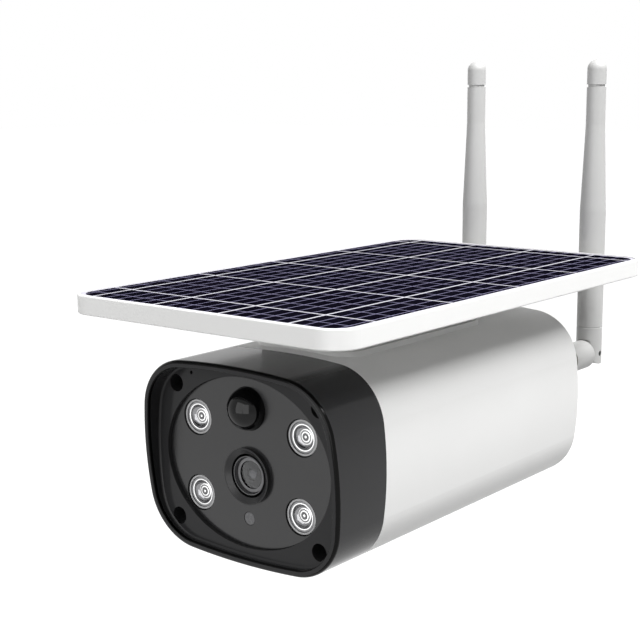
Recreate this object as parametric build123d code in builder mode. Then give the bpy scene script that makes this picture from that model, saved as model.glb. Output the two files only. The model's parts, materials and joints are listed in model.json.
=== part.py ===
"""Solar bullet camera: housing, hood and optics, battery, solar panel and two swivel antennas.

Millimetres, +Z up. The camera looks along -Y, and +X is on the right when it is seen from the front.
The origin is the mouth of the tripod socket in the middle of the underside.
"""

import os
from math import cos, radians, sin

from build123d import *

# Body section, seen from the front
body_width = 80.4
body_height = 65.0
corner_radius = 19.0
side_bulge = 4.1
crown = 2.5

# Stations along the body
rear_y = 75.0
seam_y = -49.0
hood_length = 24.6
rim_lean = 4.2
plate_recess = 4.85
plate_corner_radius = 0.8

# Walls and general clearances
wall = 2.4
rear_wall = 3.0
rear_edge_radius = 0.8
hood_wall = 1.9
shoulder_wall = 3.9
rim_wall = 2.3
rim_edge_radius = 1.2
rim_inner_radius = 0.3
seam_gap = 0.15
screw_gap = 0.05
seat_gap = 0.1
board_thickness = 1.6

# Window and what shows in it
window_side_margin = 6.4
window_top_margin = 4.95
window_bottom_margin = 5.2
window_gap = 0.15
window_recess = 1.45
window_thickness = 2.0
window_ledge_width = 1.2
window_ledge_thickness = 1.5
led_upper_side_inset = 12.1
led_upper_drop = 15.95
led_lower_side_inset = 12.9
led_lower_rise = 13.8
led_lens_radius = 5.7
led_lens_gap = 0.3
led_lens_recess = 0.4
led_lens_dome = 0.9
led_lens_rim = 0.9
led_foot_radius = 3.6
led_size = 3.4
led_height = 1.0
led_cavity_radius = 2.6
led_cavity_depth = 2.0
lens_drop = 4.225
bezel_radius = 9.1
bezel_lip = 0.35
bezel_dish = 1.3
bezel_bore_radius = 7.1
bezel_height = 1.5
bezel_skirt_radius = 8.45
bezel_skirt_length = 3.5
pir_drop = 9.95
pir_radius = 6.9
pir_dome = 6.6
pir_collar = 0.4
pir_skin = 0.9
pir_flange = 1.3
pir_can_radius = 4.6
pir_can_height = 4.4
light_sensor_rise = 9.1
light_sensor_radius = 2.05
light_sensor_body_radius = 2.6

# Camera lens and its board
barrel_head_radius = 6.3
barrel_head_length = 6.6
barrel_thread_radius = 6.0
barrel_length = 14.6
barrel_stand_out = 0.1
barrel_mouth_radius = 6.0
glass_radius = 5.7
glass_thickness = 1.4
glass_dome = 0.9
glass_inset = 0.8
rear_glass_radius = 4.0
rear_glass_thickness = 1.8
lens_aperture_radius = 3.2
holder_size = 16.0
holder_corner = 1.5
holder_cavity = 12.6
holder_cavity_depth = 2.6
sensor_width = 8.6
sensor_height = 6.8
sensor_thickness = 1.2
camera_board_size = 38.0
camera_board_corner = 2.0
spacer_radius = 2.0
spacer_length = 6.0
led_board_side_lap = 2.1
led_board_end_gap = 0.925
led_board_stand_off = 5.5
led_board_bore_radius = 8.0
led_board_post_inset = 1.7
led_board_post_radius = 1.9

# Front screws, gasket and microphone
screw_side_inset = 10.8
screw_top_inset = 10.4
screw_bottom_inset = 9.9
m3_radius = 1.5
m3_head_radius = 2.75
m3_head_height = 3.0
m3_socket_radius = 1.25
m3_socket_depth = 1.6
m3_clearance_radius = 1.7
screw_well_radius = 2.87
screw_well_wall = 1.3
screw_seat = 3.0
screw_boss_radius = 3.6
screw_boss_length = 16.0
front_screw_length = 15.0
gasket_thickness = 1.2
spigot_length = 7.0
spigot_wall = 1.6
mic_inset = 6.7
mic_rise = 4.3
mic_hole_radius = 0.6
mic_radius = 3.0
mic_length = 2.6

# Pedestal between body and panel
pedestal_y = -1.5
pedestal_width = 41.0
pedestal_length = 83.0
pedestal_corner = 9.0
saddle_rise = 0.8
saddle_depth = 2.6
saddle_flare = 25.0
reveal_height = 0.6
reveal_inset = 1.0
shoe_inset = 0.3
shoe_wall = 2.6
shoe_roof = 3.0
shoe_screw_side_inset = 7.5
shoe_screw_end_inset = 10.5
shoe_post_radius = 4.0
shoe_screw_length = 13.0
screw_pad_radius = 4.6
screw_pad_drop = 4.4

# Solar panel
panel_width = 111.0
panel_length = 188.0
panel_rear_overhang = 21.5
panel_rise = 19.4
panel_thickness = 6.3
panel_corner = 9.0
panel_border = 0.9
panel_edge_radius = 0.5
panel_pocket_depth = 1.4
backsheet_thickness = 0.9
backsheet_gap = 0.2
cell_thickness = 0.25
cell_inset = 1.6
cell_line_drop = 0.02
cell_pitch_x = 26.75
cell_pitch_y = 39.6
cell_line_width = 1.0
cell_line_x = -18.4
cell_line_y = 6.9
hollow_depth = 1.6
hollow_border = 3.0
panel_screw_side_inset = 10.5
panel_screw_end_inset = 24.5
panel_screw_length = 6.2

# Small screws
m26_radius = 1.25
m26_head_radius = 2.3
m26_head_height = 1.6
m2_radius = 1.0
m2_head_radius = 1.7
m2_head_height = 0.7

# Antennas
antenna_side_inset = 13.0
antenna_drop = 22.0
collar_radius = 5.3
collar_length = 12.0
jack_radius = 3.15
jack_inner_length = 6.0
jack_reach = 11.0
jack_shoulder_radius = 4.4
jack_shoulder = 0.8
jack_pin_radius = 0.65
nut_width = 8.0
nut_height = 2.6
swivel_gap = 0.3
running_gap = 0.05
base_radius = 5.6
base_length = 14.8
base_end_gap = 0.4
base_edge_radius = 1.4
tongue_thickness = 4.4
tongue_radius = 4.0
tongue_side_gap = 0.3
tongue_top_gap = 0.5
hinge_pin_radius = 1.0
fork_round_radius = 4.2
fork_drop = 4.1
fork_seam_height = 10.6
fork_spigot_radius = 3.3
fork_spigot_length = 7.0
whip_radius = 5.05
whip_tip_radius = 3.7
whip_lower_length = 56.8
whip_taper_length = 33.2
whip_upper_length = 14.6
whip_bore_radius = 3.4
whip_upper_bore_radius = 2.3
seam_chamfer = 0.2
tip_groove = 1.0
tip_groove_depth = 0.5
tip_length = 9.4
tip_round = 3.5
tip_spigot_length = 6.0
element_radius = 1.6
element_end_gap = 5.0

# Tripod socket in the underside
socket_radius = 2.55
socket_depth = 8.0
insert_radius = 5.0
insert_length = 9.5
insert_flange_radius = 6.5
insert_flange = 1.0
insert_boss_radius = 8.0
insert_boss_height = 12.0

# Service bay in the underside
bay_y = -28.0
bay_width = 30.0
bay_length = 24.0
bay_wall = 1.6
bay_floor_z = 8.8
bay_floor = 1.4
flap_gap = 0.3
flap_top = 2.4
hinge_setback = 2.4
hinge_z = 1.9
flap_barrel_radius = 1.4
flap_pin_radius = 0.6
flap_pin_seat = 1.4
flap_notch_radius = 4.0
flap_notch_depth = 0.9
seal_width = 1.2
seal_height = 0.8
seal_setback = 1.0
seal_hinge_setback = 2.2
usb_x = -7.0
usb_row = 3.5
usb_width = 8.0
usb_height = 3.0
usb_skin = 0.5
usb_depth = 4.5
card_x = 6.0
card_width = 13.0
card_height = 2.6
card_slot_width = 11.4
card_slot_height = 1.0
card_slot_depth = 5.0
port_gap = 0.2
power_x = -7.5
reset_x = 4.5
button_row = -6.0
power_radius = 2.4
reset_radius = 1.5
button_flange = 0.8
button_flange_height = 0.7
button_stand_out = 1.2
button_travel = 0.7
switch_play = 0.1
switch_plunger_radius = 1.3
switch_plunger = 0.6
switch_size = 6.0
switch_height = 2.2
io_board_thickness = 1.4
io_board_gap = 1.0
io_post_x = 12.2
io_post_row = 9.0
io_post_radius = 1.7

# Chassis, main board and battery
chassis_gap = 0.8
chassis_side_gap = 7.2
chassis_thickness = 2.0
chassis_rear_gap = 0.7
rail_lap = 2.0
rail_thickness = 2.0
chassis_screw_x = 14.0
chassis_screw_y = -8.0
chassis_boss_radius = 3.2
chassis_screw_length = 8.0
main_board_width = 56.0
main_board_length = 32.0
main_board_margin = 1.0
main_board_gap = 1.7
board_hole_inset = 3.5
main_board_stand_off = 5.0
stand_off_radius = 2.5
board_screw_length = 5.5
cell_radius = 9.2
cell_length = 65.0
cell_gap = 0.3
cell_wall_gap = 0.3
cell_wall = 2.0
cell_wall_height = 14.0
cell_count = 3
link_width = 8.0
link_thickness = 0.2
chip_size = 14.0
chip_height = 1.4
shield_width = 18.0
shield_length = 16.0
shield_height = 3.0
lead_radius = 1.5
lead_inset = 6.0
lead_hole_gap = 0.5
plug_width = 8.0
plug_length = 6.0
plug_height = 5.0

# Worked-out stations
mid_z = body_height / 2
rim_y = seam_y - hood_length
plate_y = rim_y + plate_recess
window_y = plate_y + window_recess
window_back_y = window_y + window_thickness
plate_back_y = window_back_y + window_ledge_thickness
window_half_width = body_width / 2 - window_side_margin
window_half_height = (body_height - window_top_margin - window_bottom_margin) / 2
window_z = window_bottom_margin + window_half_height
lens_z = window_z - lens_drop
pir_z = body_height - window_top_margin - pir_drop
light_sensor_z = window_bottom_margin + light_sensor_rise
led_upper_x = window_half_width - led_upper_side_inset
led_upper_z = body_height - window_top_margin - led_upper_drop
led_lower_x = window_half_width - led_lower_side_inset
led_lower_z = window_bottom_margin + led_lower_rise
led_board_half_width = window_half_width + led_board_side_lap
led_board_half_height = window_half_height - led_board_end_gap
led_board_post_x = led_board_half_width - led_board_post_inset
screw_x = body_width / 2 - screw_side_inset
screw_upper_z = body_height - screw_top_inset
screw_lower_z = screw_bottom_inset
mic_x = mic_inset - screw_x
mic_z = screw_upper_z + mic_rise
spacer_pitch = camera_board_size - 2 * board_hole_inset
led_board_y = plate_back_y + led_board_stand_off
led_board_back_y = led_board_y + board_thickness
camera_board_y = led_board_back_y + spacer_length
barrel_front_y = window_y - barrel_stand_out
holder_y = led_board_back_y + seat_gap
spigot_y = seam_y - spigot_length
shoulder_y = spigot_y - gasket_thickness
screw_seat_y = shoulder_y - screw_seat
inner_rear_y = rear_y - rear_wall
saddle_top = body_height + saddle_rise
shoe_screw_pitch_x = pedestal_width - 2 * shoe_screw_side_inset
shoe_screw_pitch_y = pedestal_length - 2 * shoe_screw_end_inset
panel_screw_pitch_x = pedestal_width - 2 * panel_screw_side_inset
panel_screw_pitch_y = pedestal_length - 2 * panel_screw_end_inset
panel_y = rear_y + panel_rear_overhang - panel_length / 2
panel_top = body_height + panel_rise
panel_bottom = panel_top - panel_thickness
pocket_floor = panel_top - panel_pocket_depth
shoe_roof_z = panel_bottom - shoe_roof
pad_z = body_height - screw_pad_drop
antenna_x = body_width / 2 - antenna_side_inset
antenna_z = body_height - antenna_drop
collar_end_y = rear_y + collar_length
base_start_y = collar_end_y + jack_shoulder + swivel_gap
base_end_y = base_start_y + base_length
antenna_y = base_end_y + base_end_gap + fork_round_radius
jack_end_y = base_start_y + jack_reach
fork_bottom = antenna_z - fork_drop
whip_start = antenna_z + fork_seam_height
taper_start = antenna_z + whip_lower_length
taper_end = taper_start + whip_taper_length
whip_end = taper_end + whip_upper_length
tip_start = whip_end + tip_groove
element_start = whip_start + fork_spigot_length
element_end = whip_end - tip_spigot_length - element_end_gap
bay_front_y = bay_y - bay_length / 2
bay_rear_y = bay_y + bay_length / 2
hinge_y = bay_rear_y - hinge_setback
bay_top = bay_floor_z + bay_floor
flange_z = bay_top + seat_gap
plunger_z = flange_z + button_flange_height + button_travel + switch_play
io_board_z = plunger_z + switch_plunger + switch_height
chassis_z = io_board_z + io_board_thickness + chassis_gap
chassis_top = chassis_z + chassis_thickness
chassis_rear_y = inner_rear_y - jack_inner_length - chassis_rear_gap
chassis_half_width = body_width / 2 - chassis_side_gap
rail_half_width = chassis_half_width - rail_lap
main_board_z = chassis_top + main_board_stand_off
main_board_top = main_board_z + board_thickness
cell_z = chassis_top + cell_gap + cell_radius
cell_step = 2 * cell_radius + cell_gap
cell_rear_y = chassis_rear_y - cell_wall - cell_wall_gap
cell_front_y = cell_rear_y - cell_length
front_wall_y = cell_front_y - cell_wall_gap - cell_wall / 2
rear_wall_y = cell_rear_y + cell_wall_gap + cell_wall / 2
main_board_rear_y = front_wall_y - cell_wall / 2 - main_board_gap
main_board_y = main_board_rear_y - main_board_length / 2
chassis_front_y = main_board_rear_y - main_board_length - main_board_margin
stand_off_pitch_x = main_board_width - 2 * board_hole_inset
stand_off_pitch_y = main_board_length - 2 * board_hole_inset
lead_y = main_board_rear_y - lead_inset

led_points = [
    (-led_upper_x, led_upper_z),
    (led_upper_x, led_upper_z),
    (-led_lower_x, led_lower_z),
    (led_lower_x, led_lower_z),
]
screw_points = [
    (-screw_x, screw_upper_z),
    (screw_x, screw_upper_z),
    (-screw_x, screw_lower_z),
    (screw_x, screw_lower_z),
]
jack_points = [(-antenna_x, antenna_z), (antenna_x, antenna_z)]
led_post_points = [(-led_board_post_x, window_z), (led_board_post_x, window_z)]
chassis_screw_points = [(-chassis_screw_x, chassis_screw_y), (chassis_screw_x, chassis_screw_y)]
io_posts = [
    (-io_post_x, bay_y + io_post_row),
    (io_post_x, bay_y + io_post_row),
    (io_post_x, bay_y - io_post_row),
]
button_y = bay_y + button_row
port_y = bay_y + usb_row


def front_plane(y):
    """Sketch plane at station y, seen from the front: X to the right, Z up, facing -Y."""
    return Plane.XZ.offset(-y)


def turn_plane(x, z):
    """Sketch plane for a piece turned about the line along Y through (x, z): radius on X, station on Y."""
    return Plane(origin=(x, 0, z))


def turn_axis(x, z):
    """The line along Y through (x, z)."""
    return Axis((x, 0, z), (0, 1, 0))


def draw_spigot_ring():
    """Draw the ring of the housing's spigot, just inside the hood's wall, in the open sketch."""
    outer_inset = hood_wall + seam_gap
    offset(section.sketch, amount=-outer_inset)
    hole = offset(section.sketch, amount=-(outer_inset + spigot_wall), mode=Mode.PRIVATE)
    add(hole, mode=Mode.SUBTRACT)


def save(piece, name):
    """Label a finished piece and write it as its own file."""
    piece.part.label = name
    export_step(piece.part, f"parts/{name}.step")


os.makedirs("parts", exist_ok=True)

# The body's section: four shallow arcs with round corners
with BuildSketch() as section:
    section_x = body_width / 2 - side_bulge
    section_top = body_height - crown
    with BuildLine():
        ThreePointArc((-section_x, crown), (0, 0), (section_x, crown))
        ThreePointArc((section_x, crown), (body_width / 2, mid_z), (section_x, section_top))
        ThreePointArc((section_x, section_top), (0, body_height), (-section_x, section_top))
        ThreePointArc((-section_x, section_top), (-body_width / 2, mid_z), (-section_x, crown))
    make_face()
    fillet(section.vertices(), corner_radius)

# Main housing: a deep shell, open at the front
with BuildPart() as main_housing:
    with BuildSketch(front_plane(seam_y)):
        add(section.sketch)
    extrude(amount=seam_y - rear_y)
    fillet(main_housing.faces().sort_by(Axis.Y)[-1].edges(), rear_edge_radius)
    # Saddle that carries the panel's shoe
    with BuildSketch(Plane.XY.offset(saddle_top)):
        with Locations((0, pedestal_y)):
            RectangleRounded(pedestal_width, pedestal_length, pedestal_corner)
    extrude(amount=-saddle_depth, taper=-saddle_flare)
    # Inside of the shell, and the holes for the antenna jacks in its rear wall
    with BuildSketch(front_plane(seam_y)):
        offset(section.sketch, amount=-wall)
    extrude(amount=seam_y - inner_rear_y, mode=Mode.SUBTRACT)
    with BuildSketch(front_plane(inner_rear_y)):
        with Locations(*jack_points):
            Circle(jack_radius + running_gap)
    extrude(amount=-rear_wall, mode=Mode.SUBTRACT)
    # Spigot that the hood slides over
    with BuildSketch(front_plane(spigot_y)):
        draw_spigot_ring()
    extrude(amount=-(spigot_length + wall))
    # Screw bosses in the corners
    with BuildSketch(front_plane(spigot_y)):
        with Locations(*screw_points):
            Circle(screw_boss_radius)
        inside_hood = offset(section.sketch, amount=-(hood_wall + seam_gap), mode=Mode.PRIVATE)
        add(inside_hood, mode=Mode.INTERSECT)
    extrude(amount=-screw_boss_length)
    with BuildSketch(front_plane(spigot_y)):
        with Locations(*screw_points):
            Circle(m3_radius + screw_gap)
    extrude(amount=-(screw_boss_length - wall), mode=Mode.SUBTRACT)
    # Screw pads and the lead hole under the pedestal
    with BuildSketch(Plane.XY.offset(pad_z)):
        with Locations((0, pedestal_y)):
            with GridLocations(shoe_screw_pitch_x, shoe_screw_pitch_y, 2, 2):
                Circle(screw_pad_radius)
    extrude(amount=screw_pad_drop - wall / 2)
    with BuildSketch(Plane.XY.offset(pad_z)):
        with Locations((0, pedestal_y)):
            with GridLocations(shoe_screw_pitch_x, shoe_screw_pitch_y, 2, 2):
                Circle(m3_clearance_radius)
        with Locations((0, lead_y)):
            Circle(lead_radius + lead_hole_gap)
    extrude(amount=saddle_top - pad_z, mode=Mode.SUBTRACT)
    # Rails and bosses that carry the chassis
    with BuildSketch(front_plane(chassis_front_y)):
        with Locations((0, chassis_z - rail_thickness / 2)):
            Rectangle(body_width, rail_thickness)
            Rectangle(2 * rail_half_width, rail_thickness, mode=Mode.SUBTRACT)
        inside_skin = offset(section.sketch, amount=-wall / 2, mode=Mode.PRIVATE)
        add(inside_skin, mode=Mode.INTERSECT)
    extrude(amount=chassis_front_y - inner_rear_y)
    with BuildSketch(Plane.XY.offset(chassis_z)):
        with Locations(*chassis_screw_points):
            Circle(chassis_boss_radius)
    extrude(amount=wall - chassis_z)
    with BuildSketch(Plane.XY.offset(chassis_z)):
        with Locations(*chassis_screw_points):
            Circle(m26_radius + screw_gap)
    extrude(amount=-chassis_screw_length, mode=Mode.SUBTRACT)
    # Boss and seat of the tripod insert
    with BuildSketch(Plane.XY.offset(wall / 2)):
        Circle(insert_boss_radius)
    extrude(amount=insert_boss_height - wall / 2)
    with BuildSketch():
        Circle(insert_radius + screw_gap)
    extrude(amount=insert_length, mode=Mode.SUBTRACT)
    with BuildSketch():
        Circle(insert_flange_radius + seat_gap)
    extrude(amount=insert_flange, mode=Mode.SUBTRACT)
    # Service bay: a box let into the underside
    with BuildSketch(Plane.XY.offset(wall / 2)):
        with Locations((0, bay_y)):
            Rectangle(bay_width + 2 * bay_wall, bay_length + 2 * bay_wall)
    extrude(amount=bay_top - wall / 2)
    with BuildSketch():
        with Locations((0, bay_y)):
            Rectangle(bay_width, bay_length)
    extrude(amount=bay_floor_z, mode=Mode.SUBTRACT)
    with BuildSketch(Plane.XY.offset(bay_floor_z)):
        with Locations((power_x, button_y)):
            Circle(power_radius + seat_gap)
        with Locations((reset_x, button_y)):
            Circle(reset_radius + seat_gap)
        with Locations((usb_x, port_y)):
            Rectangle(usb_width + 2 * port_gap, usb_height + 2 * port_gap)
        with Locations((card_x, port_y)):
            Rectangle(card_width + 2 * port_gap, card_height + 2 * port_gap)
    extrude(amount=bay_floor, mode=Mode.SUBTRACT)
    with BuildSketch(Plane.XY.offset(bay_top)):
        with Locations(*io_posts):
            Circle(io_post_radius)
    extrude(amount=io_board_z - bay_top)
    with BuildSketch(Plane.XY.offset(bay_top)):
        with Locations(*io_posts):
            Circle(m2_radius + screw_gap)
    extrude(amount=io_board_z - bay_top, mode=Mode.SUBTRACT)
    with BuildSketch(Plane.YZ.offset(-bay_width / 2 - flap_pin_seat)):
        with Locations((hinge_y, hinge_z)):
            Circle(flap_pin_radius + running_gap)
    extrude(amount=bay_width + 2 * flap_pin_seat, mode=Mode.SUBTRACT)
save(main_housing, "main_housing")

# Front cover: the hood, its slanted rim and the recessed plate
rim_normal = (0, -cos(radians(rim_lean)), -sin(radians(rim_lean)))
rim_plane = Plane(origin=(0, rim_y, mid_z), x_dir=(1, 0, 0), z_dir=rim_normal)
with BuildPart() as front_cover:
    with BuildSketch(front_plane(seam_y)):
        add(section.sketch)
    extrude(amount=seam_y - rim_y + body_height * sin(radians(rim_lean)))
    split(bisect_by=rim_plane, keep=Keep.BOTTOM)
    with BuildSketch(front_plane(plate_y)):
        offset(section.sketch, amount=-rim_wall)
    extrude(amount=plate_y - rim_y + body_height * sin(radians(rim_lean)), mode=Mode.SUBTRACT)
    fillet(front_cover.faces().filter_by(Axis.Y).sort_by(Axis.Y)[0].edges(), plate_corner_radius)
    fillet(front_cover.faces().filter_by(rim_plane)[0].outer_wire().edges(), rim_edge_radius)
    fillet(front_cover.faces().filter_by(rim_plane)[0].inner_wires()[0].edges(), rim_inner_radius)
    # Hollow behind the plate, with a shoulder for the gasket
    with BuildSketch(front_plane(plate_back_y)):
        offset(section.sketch, amount=-shoulder_wall)
    extrude(amount=plate_back_y - shoulder_y, mode=Mode.SUBTRACT)
    with BuildSketch(front_plane(shoulder_y)):
        offset(section.sketch, amount=-hood_wall)
    extrude(amount=shoulder_y - seam_y, mode=Mode.SUBTRACT)
    # Screw wells
    with BuildSketch(front_plane(plate_back_y)):
        with Locations(*screw_points):
            Circle(screw_well_radius + screw_well_wall)
    extrude(amount=plate_back_y - shoulder_y)
    with BuildSketch(front_plane(plate_y)):
        with Locations(*screw_points):
            Circle(screw_well_radius)
    extrude(amount=plate_y - screw_seat_y, mode=Mode.SUBTRACT)
    with BuildSketch(front_plane(screw_seat_y)):
        with Locations(*screw_points):
            Circle(m3_clearance_radius)
    extrude(amount=screw_seat_y - shoulder_y, mode=Mode.SUBTRACT)
    # Oval pocket for the window, with a ledge behind it
    with BuildSketch(front_plane(plate_y)):
        with Locations((0, window_z)):
            Ellipse(window_half_width + window_gap, window_half_height + window_gap)
    extrude(amount=plate_y - window_back_y, mode=Mode.SUBTRACT)
    with BuildSketch(front_plane(window_back_y)):
        with Locations((0, window_z)):
            Ellipse(window_half_width - window_ledge_width, window_half_height - window_ledge_width)
        with Locations(*led_points):
            Circle(led_lens_radius + window_gap)
    extrude(amount=window_back_y - plate_back_y, mode=Mode.SUBTRACT)
    # Microphone hole and pocket
    with BuildSketch(front_plane(plate_y)):
        with Locations((mic_x, mic_z)):
            Circle(mic_hole_radius)
    extrude(amount=plate_y - plate_back_y, mode=Mode.SUBTRACT)
    with BuildSketch(front_plane(plate_back_y)):
        with Locations((mic_x, mic_z)):
            Circle(mic_radius + screw_gap)
    extrude(amount=mic_length, mode=Mode.SUBTRACT)
    # Posts for the lamp board
    with BuildSketch(front_plane(plate_back_y)):
        with Locations(*led_post_points):
            Circle(led_board_post_radius)
    extrude(amount=plate_back_y - led_board_y)
    with BuildSketch(front_plane(plate_back_y)):
        with Locations(*led_post_points):
            Circle(m2_radius + screw_gap)
    extrude(amount=plate_back_y - led_board_y, mode=Mode.SUBTRACT)
save(front_cover, "front_cover")

# Front window: an oval plate, bored for everything that looks out
with BuildPart() as front_window:
    with BuildSketch(front_plane(window_y)):
        with Locations((0, window_z)):
            Ellipse(window_half_width, window_half_height)
        with Locations(*led_points):
            Circle(led_lens_radius + led_lens_gap, mode=Mode.SUBTRACT)
        with Locations((0, lens_z)):
            Circle(bezel_skirt_radius + window_gap, mode=Mode.SUBTRACT)
        with Locations((0, pir_z)):
            Circle(pir_radius + window_gap, mode=Mode.SUBTRACT)
        with Locations((0, light_sensor_z)):
            Circle(light_sensor_radius + window_gap, mode=Mode.SUBTRACT)
    extrude(amount=-window_thickness)
save(front_window, "front_window")

# Lens bezel: a raised ring with a dished face and a skirt through the window
bezel_front_y = window_y - bezel_height
with BuildPart() as lens_bezel:
    with BuildSketch(turn_plane(0, lens_z)):
        with BuildLine():
            Polyline(
                (bezel_bore_radius, bezel_front_y + bezel_dish),
                (bezel_radius - bezel_lip, bezel_front_y),
                (bezel_radius, bezel_front_y),
                (bezel_radius, window_y),
                (bezel_skirt_radius, window_y),
                (bezel_skirt_radius, window_y + bezel_skirt_length),
                (bezel_bore_radius, window_y + bezel_skirt_length),
                close=True,
            )
        make_face()
    revolve(axis=turn_axis(0, lens_z))
save(lens_bezel, "lens_bezel")

# Lens barrel: a threaded tube with a wider head, bored for the glass at each end
with BuildPart() as lens_barrel:
    with BuildSketch(front_plane(barrel_front_y)):
        with Locations((0, lens_z)):
            Circle(barrel_head_radius)
    extrude(amount=-barrel_head_length)
    with BuildSketch(front_plane(barrel_front_y + barrel_head_length)):
        with Locations((0, lens_z)):
            Circle(barrel_thread_radius)
    extrude(amount=barrel_head_length - barrel_length)
    with BuildSketch(front_plane(barrel_front_y)):
        with Locations((0, lens_z)):
            Circle(glass_radius + screw_gap)
    extrude(amount=-(glass_inset + glass_thickness + glass_dome), mode=Mode.SUBTRACT)
    with BuildSketch(turn_plane(0, lens_z)):
        with BuildLine():
            Polyline(
                (0, barrel_front_y),
                (barrel_mouth_radius, barrel_front_y),
                (glass_radius + screw_gap, barrel_front_y + glass_inset + glass_dome),
                (0, barrel_front_y + glass_inset + glass_dome),
                close=True,
            )
        make_face()
    revolve(axis=turn_axis(0, lens_z), mode=Mode.SUBTRACT)
    with BuildSketch(front_plane(barrel_front_y)):
        with Locations((0, lens_z)):
            Circle(lens_aperture_radius)
    extrude(amount=-barrel_length, mode=Mode.SUBTRACT)
    with BuildSketch(front_plane(barrel_front_y + barrel_length)):
        with Locations((0, lens_z)):
            Circle(rear_glass_radius + screw_gap)
    extrude(amount=rear_glass_thickness, mode=Mode.SUBTRACT)
save(lens_barrel, "lens_barrel")

# Lens elements: the domed front glass and a flat rear glass
glass_back_y = barrel_front_y + glass_inset + glass_thickness + glass_dome
with BuildPart() as lens_elements:
    with BuildSketch(turn_plane(0, lens_z)):
        with BuildLine():
            Polyline(
                (0, glass_back_y - glass_thickness - glass_dome),
                (0, glass_back_y),
                (glass_radius, glass_back_y),
                (glass_radius, glass_back_y - glass_thickness),
            )
            TangentArc(
                (0, glass_back_y - glass_thickness - glass_dome),
                (glass_radius, glass_back_y - glass_thickness),
                tangent=(1, 0),
            )
        make_face()
    revolve(axis=turn_axis(0, lens_z))
    with BuildSketch(front_plane(barrel_front_y + barrel_length)):
        with Locations((0, lens_z)):
            Circle(rear_glass_radius)
    extrude(amount=rear_glass_thickness)
save(lens_elements, "lens_elements")

# Lens holder: the square block that the barrel screws into
with BuildPart() as lens_holder:
    with BuildSketch(front_plane(holder_y)):
        with Locations((0, lens_z)):
            RectangleRounded(holder_size, holder_size, holder_corner)
            Circle(barrel_thread_radius + screw_gap, mode=Mode.SUBTRACT)
    extrude(amount=holder_y - camera_board_y)
    with BuildSketch(front_plane(camera_board_y)):
        with Locations((0, lens_z)):
            Rectangle(holder_cavity, holder_cavity)
    extrude(amount=holder_cavity_depth, mode=Mode.SUBTRACT)
save(lens_holder, "lens_holder")

# Image sensor on the camera board
with BuildPart() as image_sensor:
    with BuildSketch(front_plane(camera_board_y)):
        with Locations((0, lens_z)):
            Rectangle(sensor_width, sensor_height)
    extrude(amount=sensor_thickness)
save(image_sensor, "image_sensor")

with BuildPart() as camera_board:
    with BuildSketch(front_plane(camera_board_y)):
        with Locations((0, lens_z)):
            RectangleRounded(camera_board_size, camera_board_size, camera_board_corner)
    extrude(amount=-board_thickness)
save(camera_board, "camera_board")

# Spacers between the lamp board and the camera board
with BuildPart() as board_spacers:
    with BuildSketch(front_plane(led_board_back_y)):
        with Locations((0, lens_z)):
            with GridLocations(spacer_pitch, spacer_pitch, 2, 2):
                RegularPolygon(spacer_radius, 6)
    extrude(amount=-spacer_length)
save(board_spacers, "board_spacers")

# Lamp board: an oval board round the lens barrel
with BuildPart() as led_board:
    with BuildSketch(front_plane(led_board_y)):
        with Locations((0, window_z)):
            Ellipse(led_board_half_width, led_board_half_height)
        with Locations((0, lens_z)):
            Circle(led_board_bore_radius, mode=Mode.SUBTRACT)
        with Locations(*led_post_points):
            Circle(m2_radius + screw_gap, mode=Mode.SUBTRACT)
    extrude(amount=-board_thickness)
save(led_board, "led_board")

with BuildPart() as leds:
    with BuildSketch(front_plane(led_board_y)):
        with Locations(*led_points):
            Rectangle(led_size, led_size)
    extrude(amount=led_height)
save(leds, "leds")

# Lamp lenses: clear domes with a flat rim, narrowing to a foot on the board
led_front_y = window_y + led_lens_recess
led_waist_y = window_back_y + window_ledge_thickness
with BuildPart() as led_lenses:
    for lens_x, height in led_points:
        with BuildSketch(turn_plane(lens_x, height)):
            dome_radius = led_lens_radius - led_lens_rim
            with BuildLine():
                TangentArc((0, led_front_y), (dome_radius, led_front_y + led_lens_dome), tangent=(1, 0))
                Polyline(
                    (dome_radius, led_front_y + led_lens_dome),
                    (dome_radius, led_front_y),
                    (led_lens_radius, led_front_y),
                    (led_lens_radius, led_waist_y),
                    (led_foot_radius, led_board_y),
                    (led_cavity_radius, led_board_y),
                    (led_cavity_radius, led_board_y - led_cavity_depth),
                    (0, led_board_y - led_cavity_depth),
                    (0, led_front_y),
                )
            make_face()
        revolve(axis=turn_axis(lens_x, height))
save(led_lenses, "led_lenses")

# Motion-sensor lens: a thin dome with a flange behind the window
pir_top_y = window_y - pir_dome
pir_rim_y = window_y - pir_collar
pir_flange_y = window_back_y + seat_gap
pir_inner = pir_radius - pir_skin
with BuildPart() as pir_lens:
    with BuildSketch(turn_plane(0, pir_z)):
        with BuildLine():
            TangentArc((0, pir_top_y), (pir_radius, pir_rim_y), tangent=(1, 0))
            Polyline(
                (pir_radius, pir_rim_y),
                (pir_radius, pir_flange_y),
                (pir_radius + pir_flange, pir_flange_y),
                (pir_radius + pir_flange, pir_flange_y + pir_skin),
                (pir_inner, pir_flange_y + pir_skin),
                (pir_inner, pir_rim_y),
            )
            TangentArc((0, pir_top_y + pir_skin), (pir_inner, pir_rim_y), tangent=(1, 0))
            Line((0, pir_top_y + pir_skin), (0, pir_top_y))
        make_face()
    revolve(axis=turn_axis(0, pir_z))
save(pir_lens, "pir_lens")

with BuildPart() as pir_sensor:
    with BuildSketch(front_plane(led_board_y)):
        with Locations((0, pir_z)):
            Circle(pir_can_radius)
    extrude(amount=pir_can_height)
save(pir_sensor, "pir_sensor")

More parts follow.
